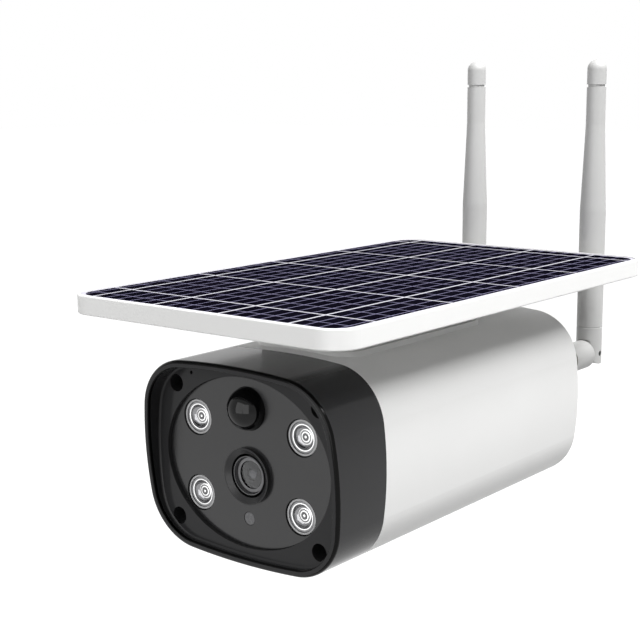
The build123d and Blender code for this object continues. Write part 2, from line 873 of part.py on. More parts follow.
# Light sensor: a stepped cylinder from the lamp board into the window
with BuildPart() as light_sensor:
    with BuildSketch(front_plane(led_board_y)):
        with Locations((0, light_sensor_z)):
            Circle(light_sensor_body_radius)
    extrude(amount=led_board_y - window_back_y - seat_gap)
    with BuildSketch(front_plane(window_back_y + seat_gap)):
        with Locations((0, light_sensor_z)):
            Circle(light_sensor_radius)
    extrude(amount=window_thickness)
save(light_sensor, "light_sensor")

with BuildPart() as microphone:
    with BuildSketch(front_plane(plate_back_y)):
        with Locations((mic_x, mic_z)):
            Circle(mic_radius)
    extrude(amount=mic_length)
save(microphone, "microphone")

# Gasket between the hood's shoulder and the housing's spigot
with BuildPart() as front_gasket:
    with BuildSketch(front_plane(shoulder_y)):
        draw_spigot_ring()
    extrude(amount=-gasket_thickness)
save(front_gasket, "front_gasket")

# Front screws, heads down in their wells
with BuildPart() as front_screws:
    with BuildSketch(front_plane(screw_seat_y)):
        with Locations(*screw_points):
            Circle(m3_head_radius)
    extrude(amount=m3_head_height)
    with BuildSketch(front_plane(screw_seat_y)):
        with Locations(*screw_points):
            Circle(m3_radius)
    extrude(amount=-front_screw_length)
    with BuildSketch(front_plane(screw_seat_y - m3_head_height)):
        with Locations(*screw_points):
            RegularPolygon(m3_socket_radius, 6)
    extrude(amount=-m3_socket_depth, mode=Mode.SUBTRACT)
save(front_screws, "front_screws")

# Chassis: a tray on the housing's rails, with end walls for the battery and posts for the main board
with BuildPart() as chassis:
    with BuildSketch(Plane.XY.offset(chassis_z)):
        with Locations((0, (chassis_front_y + chassis_rear_y) / 2)):
            Rectangle(2 * chassis_half_width, chassis_rear_y - chassis_front_y)
        with Locations(*chassis_screw_points):
            Circle(m26_radius + screw_gap, mode=Mode.SUBTRACT)
    extrude(amount=chassis_thickness)
    with BuildSketch(Plane.XY.offset(chassis_top)):
        with Locations((0, front_wall_y), (0, rear_wall_y)):
            Rectangle(cell_count * cell_step, cell_wall)
    extrude(amount=cell_wall_height)
    with BuildSketch(Plane.XY.offset(chassis_top)):
        with Locations((0, main_board_y)):
            with GridLocations(stand_off_pitch_x, stand_off_pitch_y, 2, 2):
                Circle(stand_off_radius)
    extrude(amount=main_board_stand_off)
    with BuildSketch(Plane.XY.offset(chassis_top)):
        with Locations((0, main_board_y)):
            with GridLocations(stand_off_pitch_x, stand_off_pitch_y, 2, 2):
                Circle(m26_radius + screw_gap)
    extrude(amount=main_board_stand_off, mode=Mode.SUBTRACT)
save(chassis, "chassis")

with BuildPart() as chassis_screws:
    with BuildSketch(Plane.XY.offset(chassis_top)):
        with Locations(*chassis_screw_points):
            Circle(m26_head_radius)
    extrude(amount=m26_head_height)
    with BuildSketch(Plane.XY.offset(chassis_top)):
        with Locations(*chassis_screw_points):
            Circle(m26_radius)
    extrude(amount=-chassis_screw_length)
save(chassis_screws, "chassis_screws")

# Main board and the parts on it: processor, shielded radio and the panel's plug
with BuildPart() as main_board:
    with BuildSketch(Plane.XY.offset(main_board_z)):
        with Locations((0, main_board_y)):
            RectangleRounded(main_board_width, main_board_length, stand_off_radius)
            with GridLocations(stand_off_pitch_x, stand_off_pitch_y, 2, 2):
                Circle(m26_radius + screw_gap, mode=Mode.SUBTRACT)
    extrude(amount=board_thickness)
save(main_board, "main_board")

with BuildPart() as board_parts:
    with BuildSketch(Plane.XY.offset(main_board_top)):
        with Locations((-chip_size, main_board_y)):
            Rectangle(chip_size, chip_size)
    extrude(amount=chip_height)
    with BuildSketch(Plane.XY.offset(main_board_top)):
        with Locations((shield_length, main_board_y)):
            Rectangle(shield_length, shield_width)
    extrude(amount=shield_height)
    with BuildSketch(Plane.XY.offset(main_board_top)):
        with Locations((0, lead_y)):
            Rectangle(plug_width, plug_length)
    extrude(amount=plug_height)
save(board_parts, "board_parts")

# Small screws of the main board, the lamp board and the service board
with BuildPart() as board_screws:
    with BuildSketch(Plane.XY.offset(main_board_top)):
        with Locations((0, main_board_y)):
            with GridLocations(stand_off_pitch_x, stand_off_pitch_y, 2, 2):
                Circle(m26_head_radius)
    extrude(amount=m26_head_height)
    with BuildSketch(Plane.XY.offset(main_board_top)):
        with Locations((0, main_board_y)):
            with GridLocations(stand_off_pitch_x, stand_off_pitch_y, 2, 2):
                Circle(m26_radius)
    extrude(amount=-board_screw_length)
    with BuildSketch(front_plane(led_board_back_y)):
        with Locations(*led_post_points):
            Circle(m2_head_radius)
    extrude(amount=-m2_head_height)
    with BuildSketch(front_plane(led_board_back_y)):
        with Locations(*led_post_points):
            Circle(m2_radius)
    extrude(amount=led_board_stand_off)
    with BuildSketch(Plane.XY.offset(io_board_z + io_board_thickness)):
        with Locations(*io_posts):
            Circle(m2_head_radius)
    extrude(amount=m2_head_height)
    with BuildSketch(Plane.XY.offset(io_board_z + io_board_thickness)):
        with Locations(*io_posts):
            Circle(m2_radius)
    extrude(amount=-(io_board_thickness + io_board_z - bay_top))
save(board_screws, "board_screws")

# Battery: cylindrical cells side by side, joined by nickel links
with BuildPart() as battery_cells:
    with BuildSketch(front_plane(cell_front_y)):
        with Locations((0, cell_z)):
            with GridLocations(cell_step, cell_step, cell_count, 1):
                Circle(cell_radius)
    extrude(amount=-cell_length)
save(battery_cells, "battery_cells")

with BuildPart() as cell_links:
    with BuildSketch(front_plane(cell_front_y)):
        with Locations((0, cell_z)):
            Rectangle((cell_count - 1) * cell_step + link_width, link_width)
    extrude(amount=link_thickness)
    with BuildSketch(front_plane(cell_rear_y)):
        with Locations((0, cell_z)):
            Rectangle((cell_count - 1) * cell_step + link_width, link_width)
    extrude(amount=-link_thickness)
save(cell_links, "cell_links")

# Tripod insert: a flanged brass bush with a blind thread, drawn at its tapping diameter
with BuildPart() as tripod_insert:
    with BuildSketch():
        Circle(insert_flange_radius)
    extrude(amount=insert_flange)
    with BuildSketch():
        Circle(insert_radius)
    extrude(amount=insert_length)
    with BuildSketch():
        Circle(socket_radius)
    extrude(amount=socket_depth, mode=Mode.SUBTRACT)
save(tripod_insert, "tripod_insert")

# Service board above the bay, with its ports and switches hanging from it
with BuildPart() as io_board:
    with BuildSketch(Plane.XY.offset(io_board_z)):
        with Locations((0, bay_y)):
            Rectangle(bay_width - io_board_gap, bay_length - io_board_gap)
        with Locations(*io_posts):
            Circle(m2_radius + screw_gap, mode=Mode.SUBTRACT)
    extrude(amount=io_board_thickness)
save(io_board, "io_board")

with BuildPart() as usb_port:
    with BuildSketch(Plane.XY.offset(bay_floor_z)):
        with Locations((usb_x, port_y)):
            RectangleRounded(usb_width, usb_height, usb_skin)
    extrude(amount=io_board_z - bay_floor_z)
    with BuildSketch(Plane.XY.offset(bay_floor_z)):
        with Locations((usb_x, port_y)):
            Rectangle(usb_width - 2 * usb_skin, usb_height - 2 * usb_skin)
    extrude(amount=usb_depth, mode=Mode.SUBTRACT)
save(usb_port, "usb_port")

with BuildPart() as card_socket:
    with BuildSketch(Plane.XY.offset(bay_floor_z)):
        with Locations((card_x, port_y)):
            Rectangle(card_width, card_height)
    extrude(amount=io_board_z - bay_floor_z)
    with BuildSketch(Plane.XY.offset(bay_floor_z)):
        with Locations((card_x, port_y)):
            Rectangle(card_slot_width, card_slot_height)
    extrude(amount=card_slot_depth, mode=Mode.SUBTRACT)
save(card_socket, "card_socket")

with BuildPart() as tact_switches:
    switch_points = [(power_x, button_y), (reset_x, button_y)]
    with BuildSketch(Plane.XY.offset(io_board_z)):
        with Locations(*switch_points):
            Rectangle(switch_size, switch_size)
    extrude(amount=-switch_height)
    with BuildSketch(Plane.XY.offset(io_board_z - switch_height)):
        with Locations(*switch_points):
            Circle(switch_plunger_radius)
    extrude(amount=-switch_plunger)
save(tact_switches, "tact_switches")

# Power and reset buttons: capped pins kept in by a flange above the bay's floor
for name, button_x, button_radius in (
    ("power_button", power_x, power_radius),
    ("reset_button", reset_x, reset_radius),
):
    with BuildPart() as button:
        with BuildSketch(Plane.XY.offset(bay_floor_z - button_stand_out)):
            with Locations((button_x, button_y)):
                Circle(button_radius)
        extrude(amount=flange_z + button_flange_height - bay_floor_z + button_stand_out)
        with BuildSketch(Plane.XY.offset(flange_z)):
            with Locations((button_x, button_y)):
                Circle(button_radius + button_flange)
        extrude(amount=button_flange_height)
        chamfer(button.faces().sort_by(Axis.Z)[0].edges(), seam_chamfer)
    save(button, name)

# Service flap: follows the crown of the underside and turns on a pin at its rear edge
with BuildPart() as service_flap:
    with BuildSketch(front_plane(bay_front_y + flap_gap)):
        add(section.sketch)
    extrude(amount=bay_front_y + flap_gap - hinge_y)
    with BuildSketch():
        with Locations((0, (bay_front_y + flap_gap + hinge_y) / 2)):
            Rectangle(bay_width - 2 * flap_gap, hinge_y - bay_front_y - flap_gap)
    extrude(amount=flap_top, mode=Mode.INTERSECT)
    with BuildSketch(Plane.YZ.offset(-bay_width / 2 + flap_gap)):
        with Locations((hinge_y, hinge_z)):
            Circle(flap_barrel_radius)
    extrude(amount=bay_width - 2 * flap_gap)
    with BuildSketch(Plane.YZ.offset(-bay_width / 2)):
        with Locations((hinge_y, hinge_z)):
            Circle(flap_pin_radius + running_gap)
    extrude(amount=bay_width, mode=Mode.SUBTRACT)
    with BuildSketch():
        with Locations((0, bay_front_y + flap_gap)):
            Circle(flap_notch_radius)
    extrude(amount=flap_notch_depth, mode=Mode.SUBTRACT)
save(service_flap, "service_flap")

with BuildPart() as flap_pin:
    with BuildSketch(Plane.YZ.offset(-bay_width / 2 - flap_pin_seat)):
        with Locations((hinge_y, hinge_z)):
            Circle(flap_pin_radius)
    extrude(amount=bay_width + 2 * flap_pin_seat)
save(flap_pin, "flap_pin")

with BuildPart() as flap_seal:
    seal_front_y = bay_front_y + flap_gap + seal_setback
    seal_rear_y = hinge_y - seal_hinge_setback
    seal_span_x = bay_width - 2 * (flap_gap + seal_setback)
    seal_span_y = seal_rear_y - seal_front_y
    with BuildSketch(Plane.XY.offset(flap_top)):
        with Locations((0, (seal_front_y + seal_rear_y) / 2)):
            RectangleRounded(seal_span_x, seal_span_y, 2 * seal_width)
            RectangleRounded(
                seal_span_x - 2 * seal_width, seal_span_y - 2 * seal_width, seal_width, mode=Mode.SUBTRACT
            )
    extrude(amount=seal_height)
save(flap_seal, "flap_seal")

# Panel shoe: the hollow upper half of the pedestal, with a reveal at its foot
with BuildPart() as panel_shoe:
    with BuildSketch(Plane.XY.offset(saddle_top)):
        with Locations((0, pedestal_y)):
            RectangleRounded(
                pedestal_width - 2 * reveal_inset,
                pedestal_length - 2 * reveal_inset,
                pedestal_corner - reveal_inset,
            )
    extrude(amount=reveal_height)
    with BuildSketch(Plane.XY.offset(saddle_top + reveal_height)):
        with Locations((0, pedestal_y)):
            RectangleRounded(
                pedestal_width - 2 * shoe_inset,
                pedestal_length - 2 * shoe_inset,
                pedestal_corner - shoe_inset,
            )
    extrude(amount=panel_bottom - saddle_top - reveal_height)
    with BuildSketch(Plane.XY.offset(saddle_top)):
        with Locations((0, pedestal_y)):
            RectangleRounded(
                pedestal_width - 2 * (shoe_inset + shoe_wall),
                pedestal_length - 2 * (shoe_inset + shoe_wall),
                pedestal_corner - shoe_inset - shoe_wall,
            )
    extrude(amount=shoe_roof_z - saddle_top, mode=Mode.SUBTRACT)
    with BuildSketch(Plane.XY.offset(saddle_top)):
        with Locations((0, pedestal_y)):
            with GridLocations(shoe_screw_pitch_x, shoe_screw_pitch_y, 2, 2):
                Circle(shoe_post_radius)
    extrude(amount=shoe_roof_z - saddle_top)
    with BuildSketch(Plane.XY.offset(saddle_top)):
        with Locations((0, pedestal_y)):
            with GridLocations(shoe_screw_pitch_x, shoe_screw_pitch_y, 2, 2):
                Circle(m3_radius + screw_gap)
    extrude(amount=shoe_roof_z - saddle_top, mode=Mode.SUBTRACT)
    with BuildSketch(Plane.XY.offset(shoe_roof_z)):
        with Locations((0, pedestal_y)):
            with GridLocations(panel_screw_pitch_x, panel_screw_pitch_y, 2, 2):
                Circle(m26_radius + screw_gap)
        with Locations((0, lead_y)):
            Circle(lead_radius + lead_hole_gap)
    extrude(amount=shoe_roof, mode=Mode.SUBTRACT)
save(panel_shoe, "panel_shoe")

# Screws from inside the housing into the shoe, and from the shoe into the panel
with BuildPart() as shoe_screws:
    with BuildSketch(Plane.XY.offset(pad_z)):
        with Locations((0, pedestal_y)):
            with GridLocations(shoe_screw_pitch_x, shoe_screw_pitch_y, 2, 2):
                Circle(m3_head_radius)
    extrude(amount=-m3_head_height)
    with BuildSketch(Plane.XY.offset(pad_z)):
        with Locations((0, pedestal_y)):
            with GridLocations(shoe_screw_pitch_x, shoe_screw_pitch_y, 2, 2):
                Circle(m3_radius)
    extrude(amount=shoe_screw_length)
save(shoe_screws, "shoe_screws")

with BuildPart() as panel_screws:
    with BuildSketch(Plane.XY.offset(shoe_roof_z)):
        with Locations((0, pedestal_y)):
            with GridLocations(panel_screw_pitch_x, panel_screw_pitch_y, 2, 2):
                Circle(m26_head_radius)
    extrude(amount=-m26_head_height)
    with BuildSketch(Plane.XY.offset(shoe_roof_z)):
        with Locations((0, pedestal_y)):
            with GridLocations(panel_screw_pitch_x, panel_screw_pitch_y, 2, 2):
                Circle(m26_radius)
    extrude(amount=panel_screw_length)
save(panel_screws, "panel_screws")

# Panel lead: from the panel straight down to its plug on the main board
with BuildPart() as panel_lead:
    with BuildSketch(Plane.XY.offset(main_board_top + plug_height)):
        with Locations((0, lead_y)):
            Circle(lead_radius)
    extrude(amount=panel_bottom - main_board_top - plug_height)
save(panel_lead, "panel_lead")

# Panel frame: a shallow tray, hollowed underneath except where the shoe seats
with BuildPart() as panel_frame:
    with BuildSketch(Plane.XY.offset(panel_bottom)):
        with Locations((0, panel_y)):
            RectangleRounded(panel_width, panel_length, panel_corner)
    extrude(amount=panel_thickness)
    fillet(panel_frame.faces().sort_by(Axis.Z)[-1].edges(), panel_edge_radius)
    fillet(panel_frame.faces().sort_by(Axis.Z)[0].edges(), panel_edge_radius)
    with BuildSketch(Plane.XY.offset(panel_top)):
        with Locations((0, panel_y)):
            RectangleRounded(
                panel_width - 2 * panel_border, panel_length - 2 * panel_border, panel_corner - panel_border
            )
    extrude(amount=-panel_pocket_depth, mode=Mode.SUBTRACT)
    with BuildSketch(Plane.XY.offset(panel_bottom)):
        with Locations((0, panel_y)):
            RectangleRounded(
                panel_width - 2 * hollow_border,
                panel_length - 2 * hollow_border,
                panel_corner - hollow_border,
            )
        with Locations((0, pedestal_y)):
            RectangleRounded(pedestal_width, pedestal_length, pedestal_corner, mode=Mode.SUBTRACT)
    extrude(amount=hollow_depth, mode=Mode.SUBTRACT)
    with BuildSketch(Plane.XY.offset(panel_bottom)):
        with Locations((0, pedestal_y)):
            with GridLocations(panel_screw_pitch_x, panel_screw_pitch_y, 2, 2):
                Circle(m26_radius + screw_gap)
    extrude(amount=panel_screw_length - shoe_roof + screw_gap, mode=Mode.SUBTRACT)
save(panel_frame, "panel_frame")

# Cells in the tray, and the backing sheet that shows as pale lines between them and as a border
backsheet_width = panel_width - 2 * (panel_border + backsheet_gap)
backsheet_length = panel_length - 2 * (panel_border + backsheet_gap)
backsheet_corner = panel_corner - panel_border - backsheet_gap
cells_width = backsheet_width - 2 * cell_inset
cells_length = backsheet_length - 2 * cell_inset
with BuildPart() as solar_cells:
    with BuildSketch(Plane.XY.offset(pocket_floor + backsheet_thickness)):
        with Locations((0, panel_y)):
            RectangleRounded(cells_width, cells_length, backsheet_corner - cell_inset)
        lines_left = int((cell_line_x + cells_width / 2) // cell_pitch_x)
        lines_right = int((cells_width / 2 - cell_line_x) // cell_pitch_x)
        for column in range(-lines_left, lines_right + 1):
            with Locations((cell_line_x + column * cell_pitch_x, panel_y)):
                Rectangle(cell_line_width, panel_length, mode=Mode.SUBTRACT)
        lines_front = int((cell_line_y - panel_y + cells_length / 2) // cell_pitch_y)
        lines_rear = int((cells_length / 2 - cell_line_y + panel_y) // cell_pitch_y)
        for row in range(-lines_front, lines_rear + 1):
            with Locations((0, cell_line_y + row * cell_pitch_y)):
                Rectangle(panel_width, cell_line_width, mode=Mode.SUBTRACT)
    extrude(amount=cell_thickness)
save(solar_cells, "solar_cells")

with BuildPart() as panel_backsheet:
    with BuildSketch(Plane.XY.offset(pocket_floor)):
        with Locations((0, panel_y)):
            RectangleRounded(backsheet_width, backsheet_length, backsheet_corner)
    extrude(amount=backsheet_thickness + cell_thickness - cell_line_drop)
    add(solar_cells.part, mode=Mode.SUBTRACT)
save(panel_backsheet, "panel_backsheet")

# Collars that carry the antennas clear of the rear wall
with BuildPart() as jack_collars:
    with BuildSketch(front_plane(rear_y)):
        with Locations(*jack_points):
            Circle(collar_radius)
            Circle(jack_radius + running_gap, mode=Mode.SUBTRACT)
    extrude(amount=-collar_length)
save(jack_collars, "jack_collars")

# Antenna jacks through the collars and the rear wall, each clamped by a nut inside
with BuildPart() as antenna_jacks:
    for side in (-1, 1):
        with BuildSketch(front_plane(inner_rear_y - jack_inner_length)):
            with Locations((side * antenna_x, antenna_z)):
                Circle(jack_radius)
        extrude(amount=inner_rear_y - jack_inner_length - jack_end_y)
        with BuildSketch(front_plane(collar_end_y)):
            with Locations((side * antenna_x, antenna_z)):
                Circle(jack_shoulder_radius)
        extrude(amount=-jack_shoulder)
        with BuildSketch(front_plane(jack_end_y)):
            with Locations((side * antenna_x, antenna_z)):
                Circle(jack_pin_radius)
        extrude(amount=jack_reach, mode=Mode.SUBTRACT)
save(antenna_jacks, "antenna_jacks")

with BuildPart() as jack_nuts:
    with BuildSketch(front_plane(inner_rear_y)):
        with Locations(*jack_points):
            RegularPolygon(nut_width / 2, 6, major_radius=False)
            Circle(jack_radius + running_gap, mode=Mode.SUBTRACT)
    extrude(amount=nut_height)
save(jack_nuts, "jack_nuts")

# Antennas, left and right as seen from the front: base on the jack, fork on the base's tongue, whip and tip
for side, antenna_side_x in (("left", -antenna_x), ("right", antenna_x)):
    fork_axis = Axis((antenna_side_x, antenna_y, 0), (0, 0, 1))
    # The base turns on its jack and ends in a round tongue
    with BuildPart() as antenna_base:
        with BuildSketch(front_plane(base_start_y)):
            with Locations((antenna_side_x, antenna_z)):
                Circle(base_radius)
        extrude(amount=base_start_y - base_end_y)
        fillet(antenna_base.faces().sort_by(Axis.Y)[-1].edges(), base_edge_radius)
        with BuildSketch(Plane.YZ.offset(antenna_side_x - tongue_thickness / 2)):
            with Locations((antenna_y, antenna_z)):
                Circle(tongue_radius)
            with Locations(((base_end_y - base_edge_radius + antenna_y) / 2, antenna_z)):
                Rectangle(antenna_y - base_end_y + base_edge_radius, 2 * tongue_radius)
        extrude(amount=tongue_thickness)
        with BuildSketch(front_plane(base_start_y)):
            with Locations((antenna_side_x, antenna_z)):
                Circle(jack_radius + running_gap)
        extrude(amount=-(jack_reach + swivel_gap), mode=Mode.SUBTRACT)
        with BuildSketch(Plane.YZ.offset(antenna_side_x - tongue_thickness / 2)):
            with Locations((antenna_y, antenna_z)):
                Circle(hinge_pin_radius + running_gap)
        extrude(amount=tongue_thickness, mode=Mode.SUBTRACT)
    save(antenna_base, f"antenna_base_{side}")

    # The pin runs across the fork, flush with its cheeks
    with BuildPart() as antenna_pin:
        with BuildSketch(Plane.YZ.offset(antenna_side_x - whip_radius)):
            with Locations((antenna_y, antenna_z)):
                Circle(hinge_pin_radius)
        extrude(amount=2 * whip_radius)
        with BuildSketch(Plane.XY.offset(fork_bottom)):
            with Locations((antenna_side_x, antenna_y)):
                Circle(whip_radius - seat_gap)
        extrude(amount=2 * fork_drop, mode=Mode.INTERSECT)
    save(antenna_pin, f"antenna_pin_{side}")

    # The fork is round in plan, and rounded below and notched on the side of the base so that it clears it
    with BuildPart() as antenna_fork:
        with BuildSketch(Plane.YZ.offset(antenna_side_x - whip_radius)):
            with Locations((antenna_y, antenna_z)):
                Circle(fork_round_radius)
            with Locations((antenna_y, (antenna_z + whip_start) / 2)):
                Rectangle(2 * whip_radius, whip_start - antenna_z)
            with Locations((antenna_y + whip_radius / 2, antenna_z - fork_drop / 2)):
                Rectangle(whip_radius, fork_drop)
            with Locations((antenna_y, fork_bottom - whip_radius)):
                Rectangle(4 * whip_radius, 2 * whip_radius, mode=Mode.SUBTRACT)
        extrude(amount=2 * whip_radius)
        with BuildSketch(Plane.XY.offset(fork_bottom)):
            with Locations((antenna_side_x, antenna_y)):
                Circle(whip_radius)
        extrude(amount=whip_start - fork_bottom, mode=Mode.INTERSECT)
        chamfer(antenna_fork.faces().sort_by(Axis.Z)[-1].edges(), seam_chamfer)
        with BuildSketch(front_plane(antenna_y - fork_round_radius)):
            with Locations((antenna_side_x, antenna_z)):
                Circle(base_radius + base_end_gap)
        extrude(amount=whip_radius, mode=Mode.SUBTRACT)
        slot_width = tongue_thickness + 2 * tongue_side_gap
        with BuildSketch(Plane.YZ.offset(antenna_side_x - slot_width / 2)):
            with Locations((antenna_y, antenna_z)):
                Circle(tongue_radius + tongue_top_gap)
            with Locations((antenna_y - whip_radius, antenna_z)):
                Rectangle(2 * whip_radius, 2 * (tongue_radius + tongue_top_gap))
            with Locations((antenna_y, antenna_z - whip_radius)):
                Rectangle(2 * (tongue_radius + tongue_top_gap), 2 * whip_radius)
        extrude(amount=slot_width, mode=Mode.SUBTRACT)
        with BuildSketch(Plane.YZ.offset(antenna_side_x - whip_radius)):
            with Locations((antenna_y, antenna_z)):
                Circle(hinge_pin_radius + running_gap)
        extrude(amount=2 * whip_radius, mode=Mode.SUBTRACT)
        with BuildSketch(Plane.XY.offset(whip_start)):
            with Locations((antenna_side_x, antenna_y)):
                Circle(fork_spigot_radius)
        extrude(amount=fork_spigot_length)
    save(antenna_fork, f"antenna_fork_{side}")

    # The whip is a tapered tube on the fork's spigot
    with BuildPart() as antenna_whip:
        with BuildSketch(Plane(origin=(antenna_side_x, antenna_y, 0), x_dir=(1, 0, 0), z_dir=(0, -1, 0))):
            with BuildLine():
                Polyline(
                    (whip_bore_radius, whip_start),
                    (whip_radius - seam_chamfer, whip_start),
                    (whip_radius, whip_start + seam_chamfer),
                    (whip_radius, taper_start),
                    (whip_tip_radius, taper_end),
                    (whip_tip_radius, whip_end),
                    (whip_upper_bore_radius, whip_end),
                    (whip_upper_bore_radius, taper_start),
                    (whip_bore_radius, taper_start - whip_bore_radius),
                    close=True,
                )
            make_face()
        revolve(axis=fork_axis)
    save(antenna_whip, f"antenna_whip_{side}")

    # The domed tip plugs into the whip and leaves a fine groove
    with BuildPart() as antenna_tip:
        with BuildSketch(Plane.XY.offset(tip_start)):
            with Locations((antenna_side_x, antenna_y)):
                Circle(whip_tip_radius)
        extrude(amount=tip_length)
        fillet(antenna_tip.faces().sort_by(Axis.Z)[-1].edges(), tip_round)
        with BuildSketch(Plane.XY.offset(whip_end)):
            with Locations((antenna_side_x, antenna_y)):
                Circle(whip_tip_radius - tip_groove_depth)
        extrude(amount=tip_groove)
        with BuildSketch(Plane.XY.offset(whip_end - tip_spigot_length)):
            with Locations((antenna_side_x, antenna_y)):
                Circle(whip_upper_bore_radius - screw_gap)
        extrude(amount=tip_spigot_length)
    save(antenna_tip, f"antenna_tip_{side}")

    # The radiating element stands on the fork's spigot inside the whip
    with BuildPart() as antenna_element:
        with BuildSketch(Plane.XY.offset(element_start)):
            with Locations((antenna_side_x, antenna_y)):
                Circle(element_radius)
        extrude(amount=element_end - element_start)
    save(antenna_element, f"antenna_element_{side}")
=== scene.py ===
# %% [markdown]
# # A solar security camera, dressed for its portrait
#
# The solid model of the camera is already made: a white body with a black hood, a solar panel on a low
# pedestal and two swivel antennas. In this lesson it is lit and photographed, every moulding, metal and
# glass gets a finish that is built from nodes, and the small optical pieces are added as meshes.

# %% Load the solid model
import json
from math import cos, pi, radians, sin, tau

import bmesh
import bpy
from mathutils import Matrix, Vector


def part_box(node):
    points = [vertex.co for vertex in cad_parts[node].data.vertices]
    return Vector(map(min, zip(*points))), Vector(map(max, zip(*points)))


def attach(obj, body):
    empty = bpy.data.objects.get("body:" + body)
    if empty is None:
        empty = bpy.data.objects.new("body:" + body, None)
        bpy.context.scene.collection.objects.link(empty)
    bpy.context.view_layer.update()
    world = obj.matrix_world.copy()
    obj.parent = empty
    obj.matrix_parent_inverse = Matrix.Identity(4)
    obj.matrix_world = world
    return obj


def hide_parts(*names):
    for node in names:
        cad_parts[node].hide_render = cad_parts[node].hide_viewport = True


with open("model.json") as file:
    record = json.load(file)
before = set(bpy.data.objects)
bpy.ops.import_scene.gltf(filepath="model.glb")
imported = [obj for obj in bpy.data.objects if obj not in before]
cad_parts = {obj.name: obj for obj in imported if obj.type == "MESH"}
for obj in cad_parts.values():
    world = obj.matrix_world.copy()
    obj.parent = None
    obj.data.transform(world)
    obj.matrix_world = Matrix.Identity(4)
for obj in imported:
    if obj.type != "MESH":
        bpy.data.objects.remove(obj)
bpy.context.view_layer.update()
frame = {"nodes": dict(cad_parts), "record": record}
MM = 0.001

# %% [markdown]
# ## Camera
#
# The photograph's straight edges give the place of its camera: a little above the panel, to the right of
# the hood, with a long lens. The angles are turned into three axes by hand, because a tracking constraint
# has no way to hold the small roll.

# %% Set up the camera
VIEW_PLACE = Vector((270.23, -369.47, 150.45)) * MM
VIEW_TURN = radians(38.598)
VIEW_RISE = radians(10.145)
VIEW_ROLL = radians(-0.347)
LENS_MM = 75.07
SENSOR_MM = 36.0
CLIP_START = 0.01

right = Vector((cos(VIEW_TURN), sin(VIEW_TURN), 0))
up = Vector((-sin(VIEW_RISE) * sin(VIEW_TURN), sin(VIEW_RISE) * cos(VIEW_TURN), cos(VIEW_RISE)))
back = right.cross(up)
camera_x = right * cos(VIEW_ROLL) + up * sin(VIEW_ROLL)
camera_y = up * cos(VIEW_ROLL) - right * sin(VIEW_ROLL)

lens_data = bpy.data.cameras.new("portrait_camera")
lens_data.sensor_fit = "HORIZONTAL"
lens_data.sensor_width = SENSOR_MM
lens_data.lens = LENS_MM
lens_data.clip_start = CLIP_START
camera = bpy.data.objects.new("portrait_camera", lens_data)
axes = Matrix((camera_x, camera_y, back)).transposed().to_4x4()
camera.matrix_world = Matrix.Translation(VIEW_PLACE) @ axes
bpy.context.scene.collection.objects.link(camera)
bpy.context.scene.camera = camera
print("camera at mm", [round(v / MM) for v in VIEW_PLACE])

# %% [markdown]
# ## Adding nodes
#
# Every finish below is a small graph. One function adds a node, sets its properties, and gives each input
# either a value or a link. A second one turns the colours, written as sRGB hex as a designer would pick
# them, into the linear values that the renderer works in.


# %% Helpers for colours and nodes
def linear(code):
    """Linear RGBA of an sRGB hex colour."""
    channels = [int(code[i:i + 2], 16) / 255 for i in (1, 3, 5)]
    return [c / 12.92 if c <= 0.04045 else ((c + 0.055) / 1.055) ** 2.4 for c in channels] + [1.0]


def add(tree, kind, inputs=None, **settings):
    """Add a node; inputs maps a socket to a value, or to another node's output to link it."""
    node = tree.nodes.new(kind)
    for name, value in settings.items():
        setattr(node, name, value)
    for socket, value in (inputs or {}).items():
        if isinstance(value, bpy.types.NodeSocket):
            tree.links.new(value, node.inputs[socket])
        else:
            node.inputs[socket].default_value = value
    return node


def start_material(name):
    """An empty node material, and its output node."""
    material = bpy.data.materials.new(name)
    material.use_nodes = True
    material.node_tree.nodes.clear()
    return material, add(material.node_tree, "ShaderNodeOutputMaterial")


print("middle grey in linear light", round(linear("#808080")[0], 3))

# %% [markdown]
# ## Studio
#
# The photograph has a plain white ground and soft light that comes mostly from the right. The camera hangs
# on its bracket thread, so the floor lies well below it. What the eye sees of the room is white, also in
# glass and metal, while the light that the room gives is weaker, so that white plastic keeps its shading.

# %% Room
ROOM_LIGHT = 0.18


def seen_rays(tree):
    """1 where the eye looks, directly, in a mirror or through glass, and 0 where light is gathered."""
    path = add(tree, "ShaderNodeLightPath")
    mirrored = add(tree, "ShaderNodeMath",
                   {0: path.outputs["Is Camera Ray"], 1: path.outputs["Is Glossy Ray"]}, operation="MAXIMUM")
    seen = add(tree, "ShaderNodeMath",
               {0: mirrored.outputs[0], 1: path.outputs["Is Transmission Ray"]}, operation="MAXIMUM")
    return seen.outputs[0]


world = bpy.data.worlds.new("white_room")
bpy.context.scene.world = world
world.use_nodes = True
tree = world.node_tree
tree.nodes.clear()
level = add(tree, "ShaderNodeMapRange", {"Value": seen_rays(tree), "To Min": ROOM_LIGHT, "To Max": 1.0})
room = add(tree, "ShaderNodeBackground", {"Color": linear("#ffffff"), "Strength": level.outputs[0]})
add(tree, "ShaderNodeOutputWorld", {"Surface": room.outputs[0]})
bpy.context.scene.view_settings.view_transform = "Standard"
print("room light", ROOM_LIGHT)

